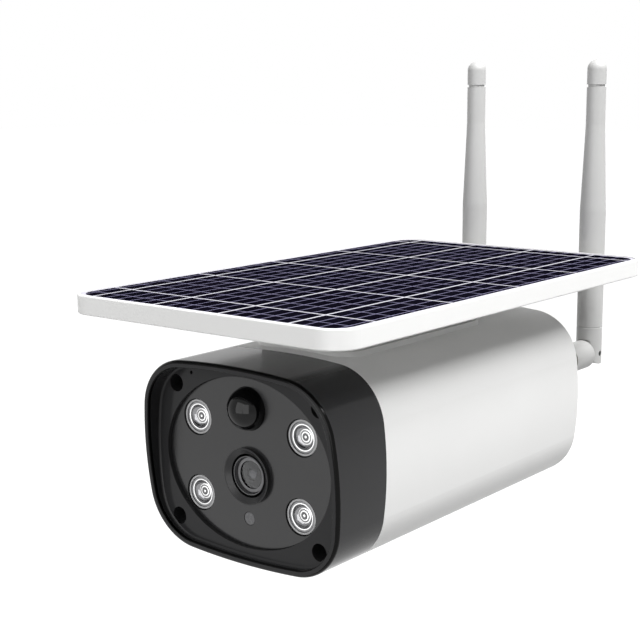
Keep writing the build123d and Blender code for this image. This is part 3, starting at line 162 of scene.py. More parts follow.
# %% Floor
FLOOR_DROP = 0.20
FLOOR_REACH = 8.0
FLOOR_GLOW = 0.86
GLOW_NEAR, GLOW_FAR = 0.5, 1.6
floor_mesh = bpy.data.meshes.new("studio_floor")
floor_mesh.from_pydata(
    [(x * FLOOR_REACH, y * FLOOR_REACH, -FLOOR_DROP) for x, y in ((-1, -1), (1, -1), (1, 1), (-1, 1))],
    [], [(0, 1, 2, 3)],
)
floor = bpy.data.objects.new("studio_floor", floor_mesh)
bpy.context.scene.collection.objects.link(floor)
material, output = start_material("white_painted_floor")
tree = material.node_tree
away = add(tree, "ShaderNodeVectorMath", {0: add(tree, "ShaderNodeNewGeometry").outputs["Position"]},
           operation="LENGTH")
glow_here = add(tree, "ShaderNodeMapRange",
                {"Value": away.outputs["Value"], "From Min": GLOW_NEAR, "From Max": GLOW_FAR,
                 "To Min": FLOOR_GLOW, "To Max": 1.0})
level = add(tree, "ShaderNodeMath", {0: seen_rays(tree), 1: glow_here.outputs[0]}, operation="MULTIPLY")
glow = add(tree, "ShaderNodeEmission", {"Color": linear("#ffffff"), "Strength": level.outputs[0]})
paint = add(tree, "ShaderNodeBsdfDiffuse", {"Color": linear("#909090")})
both = add(tree, "ShaderNodeAddShader", {0: paint.outputs[0], 1: glow.outputs[0]})
tree.links.new(both.outputs[0], output.inputs["Surface"])
floor_mesh.materials.append(material)
print("floor at mm", -FLOOR_DROP / MM)

# %% [markdown]
# Four soft boxes do the rest. The largest stands high on the right, so that the right flank and the panel's
# side are the brightest and the body's top stays dim under the panel. A tall one in front is what the dark
# dome, the lens and the lamps mirror. A strip beside it, to the right, widens its gleam on the dome and in
# the lamps' bowls. A weak one keeps the far side from going grey.

# %% Soft boxes
AIM = Vector((0, 0, 40)) * MM
# Place, width and height in mm, then watts
SOFT_BOXES = {
    "key_right": ((570, 40, 1060), 900, 900, 28.0),
    "front": ((-130, -1000, 230), 700, 900, 5.0),
    "strip_right": ((395, -810, 170), 450, 760, 2.9),
    "back_left": ((-760, 760, 300), 900, 700, 4.5),
}
for name, (place, width, height, watts) in SOFT_BOXES.items():
    light = bpy.data.lights.new(name, "AREA")
    light.shape = "RECTANGLE"
    light.size = width * MM
    light.size_y = height * MM
    light.energy = watts
    box = bpy.data.objects.new(name, light)
    box.location = Vector(place) * MM
    box.rotation_euler = (box.location - AIM).to_track_quat("Z", "Y").to_euler()
    box.visible_camera = False
    bpy.context.scene.collection.objects.link(box)
# The strip is there only for what mirrors it, and the weak box only fills: the hood's top must not show it
bpy.data.objects["strip_right"].visible_diffuse = False
bpy.data.objects["back_left"].visible_glossy = False
print("soft boxes", list(SOFT_BOXES))

# %% [markdown]
# ## Moulded plastics
#
# Most of the camera is injection moulded. The steel mould is spark eroded, which leaves a fine satin grain
# on the plastic: no mirror image, and a broad soft sheen. The grain is about 0.15 mm wide, too fine to
# show here, so it is drawn 0.8 mm wide. Flow in the mould gives a very slow drift of tone. One maker
# serves all mouldings, because only colour, sheen and grain differ between them.

# %% Maker of moulded plastics
DRIFT_MM = 45.0
# Most of a noise lies between these two values
NOISE_LOW, NOISE_HIGH = 0.3, 0.7
GRAIN_STRENGTH = 0.35


def moulded(name, pale, deep, smooth, rough, grain_mm, grain_depth_mm, ior, sheen=0.5):
    """A moulded plastic whose tone drifts between two colours, with a satin grain."""
    material, output = start_material(name)
    tree = material.node_tree
    place = add(tree, "ShaderNodeTexCoord").outputs["Object"]
    drift = add(tree, "ShaderNodeTexNoise", {"Vector": place, "Scale": 1 / (DRIFT_MM * MM), "Detail": 3.0})
    tone = add(tree, "ShaderNodeMix", {"Factor": drift.outputs["Fac"], "A": linear(pale), "B": linear(deep)},
               data_type="RGBA")
    grain = add(tree, "ShaderNodeTexNoise", {"Vector": place, "Scale": 1 / (grain_mm * MM), "Detail": 2.0})
    gloss = add(tree, "ShaderNodeMapRange",
                {"Value": grain.outputs["Fac"], "From Min": NOISE_LOW, "From Max": NOISE_HIGH,
                 "To Min": smooth, "To Max": rough})
    relief = add(tree, "ShaderNodeBump",
                 {"Height": grain.outputs["Fac"], "Strength": GRAIN_STRENGTH,
                  "Distance": grain_depth_mm * MM})
    shader = add(tree, "ShaderNodeBsdfPrincipled",
                 {"Base Color": tone.outputs["Result"], "Roughness": gloss.outputs["Result"],
                  "Normal": relief.outputs["Normal"], "IOR": ior, "Specular IOR Level": sheen})
    tree.links.new(shader.outputs[0], output.inputs["Surface"])
    return material


print("tone drifts over mm", DRIFT_MM)

# %% The mouldings
finishes = {
    # ABS, white: an opaque, slightly cool white with a satin sheen
    "white_abs": moulded("satin_white_abs", "#ededec", "#e6e6e5", 0.40, 0.50, 0.8, 0.02, 1.53),
    # ABS, black: a deep charcoal that turns grey where light grazes it
    "black_abs": moulded("satin_black_abs", "#333334", "#2c2c2d", 0.13, 0.18, 0.8, 0.02, 1.53, sheen=0.12),
    # Thermoplastic polyurethane of the antennas: a softer, greyer white
    "antenna_plastic": moulded("satin_white_polyurethane", "#bebebd", "#b6b6b5", 0.42, 0.54, 0.7, 0.02, 1.5),
    # ABS, grey: the two buttons
    "grey_abs": moulded("satin_grey_abs", "#56585a", "#4c4e50", 0.42, 0.52, 0.6, 0.02, 1.53),
    # Nylon with glass fibre: a matt black with a coarser grain
    "black_nylon": moulded("matt_black_nylon", "#1f1f20", "#161617", 0.55, 0.68, 0.9, 0.04, 1.53),
    # Silicone rubber: matt and dark
    "rubber": moulded("moulded_silicone_rubber", "#1b1b1b", "#131313", 0.62, 0.75, 0.6, 0.03, 1.43),
    # Polyvinyl chloride of the panel's lead: extruded, half matt
    "lead_sheath": moulded("extruded_vinyl_sheath", "#1a1a1b", "#121213", 0.42, 0.52, 0.5, 0.02, 1.53),
    # Epoxy moulding compound of the chips: dull, with filler grains
    "chip_resin": moulded("moulded_chip_epoxy", "#232326", "#17171a", 0.58, 0.72, 0.4, 0.02, 1.56),
    # Dark resin of the light sensor: cast, half glossy
    "sensor_resin": moulded("cast_smoked_epoxy", "#606062", "#565658", 0.22, 0.30, 0.9, 0.005, 1.55),
    # Polyethylene of the motion sensor's dome: dark and glossy
    "pir_polyethylene": moulded("glossy_black_polyethylene", "#0c0c0d", "#09090a",
                                0.06, 0.09, 2.5, 0.01, 1.51, sheen=0.2),
    # Polycarbonate window: smoked nearly black and polished
    "window_polycarbonate": moulded("smoked_polycarbonate", "#222223", "#1e1e1f",
                                    0.20, 0.26, 1.5, 0.004, 1.585, sheen=0.42),
    # Backsheet film of the panel: a pale lavender laminate
    "backsheet_film": moulded("laminated_backsheet_film", "#b9b7c2", "#b0aeba", 0.30, 0.38, 1.2, 0.01, 1.5),
}
print("mouldings", len(finishes))

# %% [markdown]
# The outer edge of the hood's rim is rounded. Along it the edge is painted near black: a line of painted
# shade and painted dark reflection, where the grey of the satin grain would otherwise show. The edge is told
# from the rim's flat face by how far the surface turns away from the rim, and from the flanks by its
# distance behind the rim.

# %% Painted shade along the edge of the hood
RIM_POINT_MM = (0.0, -73.6, 32.5)
RIM_LEAN = radians(4.2)
SHADE_LINE_DEPTH_MM = 1.25
SHADE_LINE_TURN = radians(14)
tree = finishes["black_abs"].node_tree
shader = tree.nodes["Principled BSDF"]
satin = shader.inputs["Base Color"].links[0].from_socket
surface = add(tree, "ShaderNodeNewGeometry")
inward = (0.0, cos(RIM_LEAN), sin(RIM_LEAN))
from_rim = add(tree, "ShaderNodeVectorMath",
               {0: surface.outputs["Position"], 1: [v * MM for v in RIM_POINT_MM]}, operation="SUBTRACT")
depth = add(tree, "ShaderNodeVectorMath", {0: from_rim.outputs[0], 1: inward}, operation="DOT_PRODUCT")
near = add(tree, "ShaderNodeMath", {0: depth.outputs["Value"], 1: SHADE_LINE_DEPTH_MM * MM}, operation="LESS_THAN")
facing = add(tree, "ShaderNodeVectorMath", {0: surface.outputs["Normal"], 1: inward}, operation="DOT_PRODUCT")
turned = add(tree, "ShaderNodeMath",
             {0: facing.outputs["Value"], 1: -cos(SHADE_LINE_TURN)}, operation="GREATER_THAN")
edge = add(tree, "ShaderNodeMath", {0: near.outputs[0], 1: turned.outputs[0]}, operation="MULTIPLY")
# Painted shade: the edge band is painted near black
tone = add(tree, "ShaderNodeMix", {"Factor": edge.outputs[0], "A": satin, "B": linear("#181818")},
           data_type="RGBA")
tree.links.new(tone.outputs["Result"], shader.inputs["Base Color"])
# Painted shade: as a metal with a black base the edge mirrors almost nothing, which takes the sheen off the
# line as well
tree.links.new(edge.outputs[0], shader.inputs["Metallic"])
print("edge band in mm", SHADE_LINE_DEPTH_MM)

# %% [markdown]
# ## Metals
#
# Screws, jacks and shields are turned, plated or rolled. Turning and rolling leave fine parallel lines, so
# the roughness noise is stretched along one direction. Real lines lie about 0.05 mm apart, too fine to show
# here, so they are drawn 0.4 mm wide. A metal takes its colour from its base colour and keeps the shader's
# own index of refraction.

# %% Maker of metals
LINE_MM = 0.4
LINE_STRETCH = 0.06


def worked_metal(name, pale, deep, smooth, rough):
    """A metal with fine parallel tool lines."""
    material, output = start_material(name)
    tree = material.node_tree
    place = add(tree, "ShaderNodeTexCoord").outputs["Object"]
    along = add(tree, "ShaderNodeMapping", {"Vector": place, "Scale": (1.0, LINE_STRETCH, 1.0)})
    lines = add(tree, "ShaderNodeTexNoise",
                {"Vector": along.outputs[0], "Scale": 1 / (LINE_MM * MM), "Detail": 2.0})
    tone = add(tree, "ShaderNodeMix", {"Factor": lines.outputs["Fac"], "A": linear(pale), "B": linear(deep)},
               data_type="RGBA")
    gloss = add(tree, "ShaderNodeMapRange",
                {"Value": lines.outputs["Fac"], "From Min": NOISE_LOW, "From Max": NOISE_HIGH,
                 "To Min": smooth, "To Max": rough})
    shader = add(tree, "ShaderNodeBsdfPrincipled",
                 {"Base Color": tone.outputs["Result"], "Roughness": gloss.outputs["Result"],
                  "Metallic": 1.0})
    tree.links.new(shader.outputs[0], output.inputs["Surface"])
    return material


print("tool lines in mm", LINE_MM)

# %% The metals
finishes.update({
    # Brass, turned: warm yellow with a clear shine
    "brass": worked_metal("turned_brass", "#cfb98a", "#bba474", 0.22, 0.34),
    # Steel, nickel plated: neutral and bright
    "steel": worked_metal("nickel_plated_steel", "#c4c4c6", "#aeaeb1", 0.24, 0.36),
    # Steel, blackened: dark and dull, for the antenna pins and the screws in the hood's wells
    "black_steel": worked_metal("blackened_steel", "#2a2a2b", "#1d1d1e", 0.36, 0.48),
    # Nickel strip, rolled: slightly warm
    "nickel": worked_metal("rolled_nickel", "#cfccc4", "#bab6ad", 0.28, 0.40),
    # Aluminium, black anodised: its dyed oxide hides the metal, so it is made like a dark satin plastic
    "black_anodised": moulded("black_anodised_aluminium", "#3c3c3e", "#343436", 0.36, 0.46, 0.5, 0.01, 1.65),
})
print("finishes so far", len(finishes))

# %% [markdown]
# ## Solar cells
#
# The panel's cells are thin slices of silicon under a matt laminate. Silicon that is treated against
# reflection is nearly black with a blue cast. Each cell is cut into small pieces, five across and four
# along, and the cuts show as dim lines. The lines are drawn from the distance to the nearest cut, which
# stays sharp at any size of picture.

# %% Silicon under its laminate
CELL_WIDTH_MM, CELL_LENGTH_MM = 26.75, 39.6
PIECES_ACROSS, PIECES_ALONG = 5, 4
PIECE_X_MM = CELL_WIDTH_MM / PIECES_ACROSS
PIECE_Y_MM = CELL_LENGTH_MM / PIECES_ALONG
CELL_START_X_MM, CELL_START_Y_MM = -45.15, -72.3
CUT_WIDTH_MM = 0.5
LAMINATE_GRAIN_MM = 0.6

material, output = start_material("laminated_silicon")
tree = material.node_tree
place = add(tree, "ShaderNodeTexCoord").outputs["Object"]
from_start = add(tree, "ShaderNodeVectorMath",
                 {0: place, 1: (CELL_START_X_MM * MM, CELL_START_Y_MM * MM, 0)}, operation="SUBTRACT")
split = add(tree, "ShaderNodeSeparateXYZ", {0: from_start.outputs[0]})
to_cut_x = add(tree, "ShaderNodeMath",
               {0: split.outputs["X"], 1: PIECE_X_MM * MM / 2}, operation="PINGPONG")
to_cut_y = add(tree, "ShaderNodeMath",
               {0: split.outputs["Y"], 1: PIECE_Y_MM * MM / 2}, operation="PINGPONG")
nearest = add(tree, "ShaderNodeMath", {0: to_cut_x.outputs[0], 1: to_cut_y.outputs[0]}, operation="MINIMUM")
cut = add(tree, "ShaderNodeMath", {0: nearest.outputs[0], 1: CUT_WIDTH_MM * MM / 2}, operation="LESS_THAN")
in_pieces = add(tree, "ShaderNodeVectorMath",
                {0: from_start.outputs[0], 1: (PIECE_X_MM * MM, PIECE_Y_MM * MM, 1)}, operation="DIVIDE")
piece_number = add(tree, "ShaderNodeVectorMath", {0: in_pieces.outputs[0]}, operation="FLOOR")
shade = add(tree, "ShaderNodeTexWhiteNoise", {"Vector": piece_number.outputs[0]}, noise_dimensions="2D")
silicon = add(tree, "ShaderNodeMix",
              {"Factor": shade.outputs["Value"], "A": linear("#08070f"), "B": linear("#0c0b14")},
              data_type="RGBA")
tone = add(tree, "ShaderNodeMix",
           {"Factor": cut.outputs[0], "A": silicon.outputs["Result"], "B": linear("#6e6b84")},
           data_type="RGBA")
grain = add(tree, "ShaderNodeTexNoise",
            {"Vector": place, "Scale": 1 / (LAMINATE_GRAIN_MM * MM), "Detail": 2.0})
gloss = add(tree, "ShaderNodeMapRange", {"Value": grain.outputs["Fac"], "To Min": 0.45, "To Max": 0.65})
shader = add(tree, "ShaderNodeBsdfPrincipled",
             {"Base Color": tone.outputs["Result"], "Roughness": gloss.outputs["Result"], "IOR": 1.45,
              "Specular IOR Level": 0.0})
tree.links.new(shader.outputs[0], output.inputs["Surface"])
finishes["solar_silicon"] = material
print("cuts every mm", round(PIECE_X_MM, 2), round(PIECE_Y_MM, 2))

# %% [markdown]
# ## Boards, battery sleeve and lamp phosphor
#
# These lie inside, and show only when the model is opened. A circuit board is glass and epoxy
# under a green solder mask, with copper tracks that show as paler lines, about 0.5 mm wide. A battery cell
# wears a shrunk film with faint rings where it tightened. The lamp chips wear a yellow phosphor gel.

# %% Circuit board
TRACK_MM = 0.5
# The pattern's unit is eight tracks wide, so a joint of 0.06 on each side makes one track
PATTERN_MM = 8 * TRACK_MM
MASK_RELIEF_MM = 0.03
material, output = start_material("green_solder_mask")
tree = material.node_tree
place = add(tree, "ShaderNodeTexCoord").outputs["Object"]
tracks = add(tree, "ShaderNodeTexBrick",
             {"Vector": place, "Color1": linear("#0f5230"), "Color2": linear("#0c4629"),
              "Mortar": linear("#2b7a4d"), "Scale": 1 / (PATTERN_MM * MM), "Mortar Size": 0.06,
              "Brick Width": 0.9, "Row Height": 0.25})
grain = add(tree, "ShaderNodeTexNoise", {"Vector": place, "Scale": 1 / (TRACK_MM * MM), "Detail": 2.0})
gloss = add(tree, "ShaderNodeMapRange", {"Value": grain.outputs["Fac"], "To Min": 0.28, "To Max": 0.42})
relief = add(tree, "ShaderNodeBump",
             {"Height": tracks.outputs["Fac"], "Strength": 0.3, "Distance": MASK_RELIEF_MM * MM})
shader = add(tree, "ShaderNodeBsdfPrincipled",
             {"Base Color": tracks.outputs["Color"], "Roughness": gloss.outputs["Result"],
              "Normal": relief.outputs["Normal"], "IOR": 1.55})
tree.links.new(shader.outputs[0], output.inputs["Surface"])
finishes["circuit_board"] = material
print("tracks in mm", TRACK_MM)

# %% Battery sleeve and phosphor
RING_MM = 3.0
RING_RELIEF_MM = 0.05
material, output = start_material("shrunk_blue_sleeve")
tree = material.node_tree
place = add(tree, "ShaderNodeTexCoord").outputs["Object"]
rings = add(tree, "ShaderNodeTexWave",
            {"Vector": place, "Scale": 1 / (RING_MM * MM * 2 * pi), "Distortion": 1.5, "Detail": 2.0},
            bands_direction="Y")
tone = add(tree, "ShaderNodeMix",
           {"Factor": rings.outputs["Fac"], "A": linear("#2467a8"), "B": linear("#1f5c99")},
           data_type="RGBA")
gloss = add(tree, "ShaderNodeMapRange", {"Value": rings.outputs["Fac"], "To Min": 0.22, "To Max": 0.32})
relief = add(tree, "ShaderNodeBump",
             {"Height": rings.outputs["Fac"], "Strength": 0.25, "Distance": RING_RELIEF_MM * MM})
shader = add(tree, "ShaderNodeBsdfPrincipled",
             {"Base Color": tone.outputs["Result"], "Roughness": gloss.outputs["Result"],
              "Normal": relief.outputs["Normal"], "IOR": 1.54})
tree.links.new(shader.outputs[0], output.inputs["Surface"])
finishes["cell_sleeve"] = material

# Silicone gel with yellow phosphor: opaque and slightly glossy
finishes["lamp_phosphor"] = moulded("phosphor_gel", "#ecc858", "#e2b93f", 0.30, 0.38, 0.3, 0.01, 1.41)
print("finishes so far", len(finishes))

# %% [markdown]
# ## Clear optics
#
# The front glass of the lens and the lamp lenses let light through and mirror the soft boxes. Real glass
# is never quite spotless, so a trace of haze varies the roughness.


# %% Maker of clear pieces
def clear(name, tint, smooth, rough, haze_mm, ior, sheen):
    """A clear piece that lets light through, with a trace of haze."""
    material, output = start_material(name)
    tree = material.node_tree
    place = add(tree, "ShaderNodeTexCoord").outputs["Object"]
    haze = add(tree, "ShaderNodeTexNoise", {"Vector": place, "Scale": 1 / (haze_mm * MM), "Detail": 2.0})
    gloss = add(tree, "ShaderNodeMapRange", {"Value": haze.outputs["Fac"], "To Min": smooth, "To Max": rough})
    shader = add(tree, "ShaderNodeBsdfPrincipled",
                 {"Base Color": linear(tint), "Roughness": gloss.outputs["Result"], "IOR": ior,
                  "Transmission Weight": 1.0, "Specular IOR Level": sheen})
    tree.links.new(shader.outputs[0], output.inputs["Surface"])
    return material


# Crown glass, polished and coated: a weak grey tint
finishes["optical_glass"] = clear("polished_optical_glass", "#c9cacc", 0.0, 0.02, 4.0, 1.52, 0.16)
# Polycarbonate, moulded clear: bright, with a trace of mould haze
finishes["clear_polycarbonate"] = clear("clear_polycarbonate", "#f4f4f4", 0.02, 0.05, 2.0, 1.585, 0.5)
print("finishes", len(finishes))

# %% [markdown]
# ## Dressing the solid model
#
# The record names a material slot for each node. Materials could be set by hand, node by node; one loop over
# the record does it here, so that none is forgotten. Two nodes then get a finish of their own, because in
# the photograph they are darker than the rest of their slot.


# %% Dress the solid model
def dress(node, material):
    """Give a node of the solid model one material."""
    mesh = frame["nodes"][node].data
    mesh.materials.clear()
    mesh.materials.append(material)


for row in frame["record"]["subparts"]:
    dress(row["node"], finishes[row["material_slot"]])
# The screws in the hood's wells are blackened, so that the wells look dark
dress("front_screws", finishes["black_steel"])
# ABS, black, from a smoother mould: the ring round the lens is darker than the hood
dress("lens_bezel",
      moulded("smooth_black_abs", "#242425", "#1f1f20", 0.28, 0.36, 0.8, 0.01, 1.53, sheen=0.25))

# %% [markdown]
# ## Lamp lenses
#
# Each lamp wears a moulded lens: a flat rim, a fine groove, a bright bead, and a bowl with a small ringed
# eye over the chip. The solid model has the envelope only. Turned shapes like these could be spun with a
# modifier; here one function sweeps a section round its axis, because then each step of the section can
# have its own finish. A section is a closed list of radius, distance along the axis and finish.


# %% Maker of turned pieces
TURN_STEPS = 96
SHARP_ANGLE = radians(32)
MERGE_MM = 0.0001


def finish_piece(work, name, materials):
    """Turn a work mesh into a piece that rides on the camera's body."""
    bmesh.ops.recalc_face_normals(work, faces=work.faces)
    mesh = bpy.data.meshes.new(name)
    work.to_mesh(mesh)
    work.free()
    mesh.shade_smooth()
    mesh.set_sharp_from_angle(angle=SHARP_ANGLE)
    for material in materials:
        mesh.materials.append(material)
    piece = bpy.data.objects.new(name, mesh)
    bpy.context.scene.collection.objects.link(piece)
    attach(piece, "camera")
    print(name, "faces", len(mesh.polygons))
    return piece


def sweep(work, section, centre, upright=False):
    """Sweep a closed section round a line through centre that runs front to back, or upright."""
    rows = []
    for step in range(TURN_STEPS):
        angle = tau * step / TURN_STEPS
        row = []
        for radius, along, _ in section:
            across = (radius * cos(angle), radius * sin(angle))
            offset = (across[0], across[1], along) if upright else (across[0], along, across[1])
            row.append(work.verts.new((Vector(centre) + Vector(offset)) * MM))
        rows.append(row)
    for here, there in zip(rows, rows[1:] + rows[:1]):
        for k, (_, _, number) in enumerate(section):
            n = (k + 1) % len(section)
            work.faces.new((here[k], here[n], there[n], there[k])).material_index = number
    bmesh.ops.remove_doubles(work, verts=work.verts, dist=MERGE_MM * MM)


print("steps in a turn", TURN_STEPS)

# %% Lamp lenses
LAMP_POINTS = ((-21.7, 44.1), (21.7, 44.1), (-20.9, 19.0), (20.9, 19.0))
FROSTED, BRIGHT, SILVERED, SHADED, LAND = range(5)
LAMP_SECTION = (
    (5.70, 3.10, FROSTED), (5.70, 0.22, FROSTED), (5.62, 0.06, FROSTED), (5.48, 0.00, FROSTED),
    (5.20, 0.00, FROSTED), (5.08, 0.06, FROSTED), (5.02, 0.25, SHADED), (4.98, 0.60, SHADED),
    (4.86, 0.60, SHADED), (4.82, 0.42, LAND), (4.30, 0.42, BRIGHT), (4.25, 0.34, BRIGHT),
    (4.10, 0.30, BRIGHT), (3.95, 0.34, BRIGHT), (3.86, 0.50, SHADED), (3.60, 1.00, SILVERED),
    (3.20, 1.50, SILVERED), (2.75, 1.85, SILVERED), (2.50, 1.90, BRIGHT), (2.45, 1.62, BRIGHT),
    (2.32, 1.54, BRIGHT), (2.14, 1.54, LAND), (2.08, 1.62, LAND), (1.72, 1.62, LAND),
    (1.66, 1.52, BRIGHT), (1.26, 1.48, SHADED), (1.18, 1.58, SHADED), (0.50, 1.58, SHADED),
    (0.42, 1.42, BRIGHT), (0.00, 1.36, FROSTED), (0.00, 6.60, FROSTED), (2.60, 6.60, FROSTED),
    (2.60, 8.60, FROSTED), (3.60, 8.60, FROSTED),
)
lamp_finishes = (
    # Polycarbonate, frosted in the mould: a light grey rim
    moulded("frosted_polycarbonate", "#bcbcbd", "#b0b0b1", 0.30, 0.40, 0.5, 0.01, 1.585),
    # Polycarbonate, metallised behind: mirrors the white room and reads as white
    worked_metal("silvered_polycarbonate", "#fcfcfc", "#f6f6f6", 0.34, 0.42),
    # Aluminium, deposited on the bowl: mirrors the room softly
    worked_metal("silvered_bowl", "#88888a", "#7c7c7e", 0.12, 0.18),
    # Painted shade: a dark grey in the bottom of the grooves, in the eye's dark ring and on the bowl's first
    # step
    moulded("shaded_groove_polycarbonate", "#6e6e70", "#646466", 0.30, 0.40, 0.5, 0.01, 1.585),
    # The land between groove and bead: a middle grey
    moulded("land_polycarbonate", "#959597", "#8b8b8d", 0.25, 0.35, 0.5, 0.01, 1.585),
)
lamp_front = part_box("led_lenses")[0].y / MM
work = bmesh.new()
for x, z in LAMP_POINTS:
    sweep(work, LAMP_SECTION, (x, lamp_front, z))
lamp_lenses = finish_piece(work, "lamp_lenses", lamp_finishes)
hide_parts("led_lenses")

# %% [markdown]
# ## Lens
#
# The front glass is a thin meniscus that a grey ring holds. Close behind it lies a dark plate with a small
# inner glass, which looks lighter than what surrounds it. The solid model has one thick glass in their
# place, and a second glass at the barrel's end, so both are drawn anew here.

# %% Glasses
LENS_Z = 28.4
GLASS_EDGE_Y = -65.70
GLASS_RADIUS, GLASS_RISE, GLASS_THICK = 5.70, 0.45, 0.35
DOME_STEPS = 10
REAR_RADIUS, REAR_THICK = 4.0, 1.8
dome_radius = (GLASS_RADIUS ** 2 + GLASS_RISE ** 2) / (2 * GLASS_RISE)


def dome(radius):
    """Height of the front glass over its edge."""
    return (dome_radius ** 2 - radius ** 2) ** 0.5 - (dome_radius - GLASS_RISE)


steps = [GLASS_RADIUS * k / DOME_STEPS for k in range(DOME_STEPS + 1)]
front_section = [(r, -dome(r), 0) for r in steps]
front_section += [(r, GLASS_THICK - dome(r), 0) for r in reversed(steps)]
rear_section = (
    (0.0, -REAR_THICK, 0), (REAR_RADIUS, -REAR_THICK, 0), (REAR_RADIUS, 0.0, 0), (0.0, 0.0, 0),
)
work = bmesh.new()
sweep(work, front_section, (0, GLASS_EDGE_Y, LENS_Z))
sweep(work, rear_section, (0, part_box("lens_elements")[1].y / MM, LENS_Z))
glasses = finish_piece(work, "lens_glasses", (finishes["optical_glass"],))
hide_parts("lens_elements")

# %% Ring, plate and inner glass
RING_SECTION = (
    (5.66, -0.05, 0), (5.70, -0.38, 0), (5.60, -0.50, 0),
    (4.75, -0.58, 0), (4.62, -0.52, 0), (4.58, -0.38, 0),
)
PLATE, INNER, RECESS = range(3)
PLATE_GAP = 0.06
PLATE_BACK = 1.38
PLATE_RADII = (5.62, 4.40, 3.20)
# The plate follows the glass down to its recess, where the inner glass sits
plate_section = [(r, GLASS_THICK + PLATE_GAP - dome(r), PLATE) for r in PLATE_RADII]
plate_section += [
    (2.00, 0.20, RECESS), (1.94, 0.70, RECESS), (1.42, 0.70, INNER), (1.34, 0.48, INNER),
    (0.80, 0.38, INNER), (0.00, 0.34, PLATE), (0.00, PLATE_BACK, PLATE), (PLATE_RADII[0], PLATE_BACK, PLATE),
]
plate_finishes = (
    # Nylon, half matt: the plate behind the front glass
    moulded("satin_plate_nylon", "#1c1c1d", "#171718", 0.55, 0.65, 0.6, 0.01, 1.53, sheen=0.1),
    # Painted reflection: the inner glass is an opaque smooth grey, lighter than the plate, in place of what
    # the glass mirrors
    moulded("grey_inner_glass_painted_reflection", "#757578", "#6a6a6d", 0.06, 0.10, 1.5, 0.002, 1.6, sheen=0.2),
    # The gap round the inner glass: dark
    moulded("shaded_plate_nylon", "#202021", "#19191a", 0.55, 0.65, 0.6, 0.01, 1.53),
)
# Aluminium, grey anodised: a soft light ring
ring_finish = moulded("grey_anodised_ring", "#6e6e70", "#646466", 0.35, 0.45, 0.5, 0.01, 1.6)
work = bmesh.new()
sweep(work, RING_SECTION, (0, GLASS_EDGE_Y, LENS_Z))
finish_piece(work, "lens_retaining_ring", (ring_finish,))
work = bmesh.new()
sweep(work, plate_section, (0, GLASS_EDGE_Y, LENS_Z))
finish_piece(work, "lens_stop", plate_finishes)

# %% [markdown]
# ## Tripod thread
#
# The solid model's socket is a plain hole at the tapping diameter, which is what a mount needs. A real
# insert has a thread: a ridge that climbs 1.27 mm a turn. It is laid as one long strip with four corners,
# round a bore at the thread's outer diameter.

# %% Threaded insert
THREAD_PITCH = 1.27
THREAD_CREST = 2.56
THREAD_ROOT = 3.12
# The ridge's foot reaches a little into the wall of the bore
THREAD_FOOT = THREAD_ROOT + 0.02
THREAD_START, THREAD_END = 0.75, 7.40
THREAD_FLANK, THREAD_LAND = 0.56, 0.09
INSERT_SECTION = (
    (6.50, 0.20, 0), (6.30, 0.02, 0), (3.75, 0.02, 0), (THREAD_ROOT, 0.60, 0), (THREAD_ROOT, 8.00, 0),
    (0.00, 8.00, 0), (0.00, 9.50, 0), (4.80, 9.50, 0), (5.00, 9.30, 0), (5.00, 1.00, 0), (6.50, 1.00, 0),
)
work = bmesh.new()
sweep(work, INSERT_SECTION, (0, 0, 0), upright=True)
thread_steps = round((THREAD_END - THREAD_START) / THREAD_PITCH * TURN_STEPS)
corners = ((THREAD_FOOT, -THREAD_FLANK), (THREAD_CREST, -THREAD_LAND),
           (THREAD_CREST, THREAD_LAND), (THREAD_FOOT, THREAD_FLANK))
rows = []
for step in range(thread_steps + 1):
    angle = tau * step / TURN_STEPS
    climb = THREAD_START + THREAD_PITCH * step / TURN_STEPS
    points = [Vector((r * cos(angle), r * sin(angle), climb + z)) for r, z in corners]
    rows.append([work.verts.new(point * MM) for point in points])
for here, there in zip(rows, rows[1:]):
    for k in range(len(corners)):
        n = (k + 1) % len(corners)
        work.faces.new((here[k], here[n], there[n], there[k]))
work.faces.new(rows[0])
work.faces.new(rows[-1])
thread = finish_piece(work, "threaded_insert", (finishes["brass"],))
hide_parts("tripod_insert")

# %% [markdown]
# ## Contacts in the ports
#
# With the flap open, the charging port shows a black tongue with contacts on both faces, and the card slot
# a row of springs. Both are small blocks with their edges bevelled.


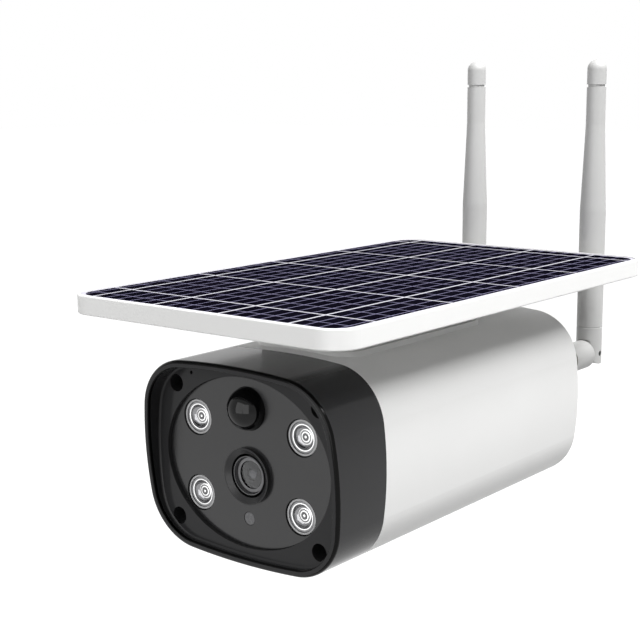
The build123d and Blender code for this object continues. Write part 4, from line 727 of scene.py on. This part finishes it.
# %% Tongue, pads and springs
def block(work, low, high, bevel):
    """Add a box between two corners, with all its edges bevelled."""
    size = Vector(high) - Vector(low)
    middle = (Vector(high) + Vector(low)) / 2
    made = bmesh.ops.create_cube(work, size=1.0, matrix=Matrix.Diagonal((size * MM).to_4d()))
    bmesh.ops.translate(work, verts=made["verts"], vec=middle * MM)
    edges = list({edge for vert in made["verts"] for edge in vert.link_edges})
    bmesh.ops.bevel(work, geom=edges, offset=bevel * MM, segments=2, affect="EDGES", profile=0.5)


port_low, port_high = (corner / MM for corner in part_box("usb_port"))
card_low, card_high = (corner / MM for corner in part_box("card_socket"))
port_mid = (port_low + port_high) / 2
card_mid = (card_low + card_high) / 2
TONGUE_WIDTH, TONGUE_THICK, TONGUE_START, TONGUE_DEPTH = 5.4, 0.7, 0.8, 4.6
TONGUE_BEVEL, PAD_BEVEL, SPRING_BEVEL = 0.15, 0.02, 0.04
PAD_STEP, PAD_WIDTH, PAD_THICK, PAD_SETBACK, PAD_COUNT = 0.85, 0.4, 0.06, 0.3, 5
SPRING_STEP, SPRING_WIDTH, SPRING_THICK, SPRING_COUNT = 1.25, 0.6, 0.14, 8
SPRING_FACE, SPRING_START, SPRING_DEPTH = 0.5, 0.6, 4.8
work = bmesh.new()
block(work, (port_mid.x - TONGUE_WIDTH / 2, port_mid.y - TONGUE_THICK / 2, port_low.z + TONGUE_START),
      (port_mid.x + TONGUE_WIDTH / 2, port_mid.y + TONGUE_THICK / 2, port_low.z + TONGUE_DEPTH),
      TONGUE_BEVEL)
finish_piece(work, "port_tongue", (finishes["chip_resin"],))
work = bmesh.new()
for number in range(PAD_COUNT):
    for side in (-1, 1):
        x = port_mid.x + (number - (PAD_COUNT - 1) / 2) * PAD_STEP
        y = port_mid.y + side * TONGUE_THICK / 2
        block(work, (x - PAD_WIDTH / 2, y - PAD_THICK / 2, port_low.z + TONGUE_START + PAD_SETBACK),
              (x + PAD_WIDTH / 2, y + PAD_THICK / 2, port_low.z + TONGUE_DEPTH), PAD_BEVEL)
for number in range(SPRING_COUNT):
    x = card_mid.x + (number - (SPRING_COUNT - 1) / 2) * SPRING_STEP
    y = card_mid.y + SPRING_FACE - SPRING_THICK / 2
    block(work, (x - SPRING_WIDTH / 2, y - SPRING_THICK, card_low.z + SPRING_START),
          (x + SPRING_WIDTH / 2, y + SPRING_THICK / 2, card_low.z + SPRING_DEPTH), SPRING_BEVEL)
finish_piece(work, "port_contacts", (finishes["brass"],))
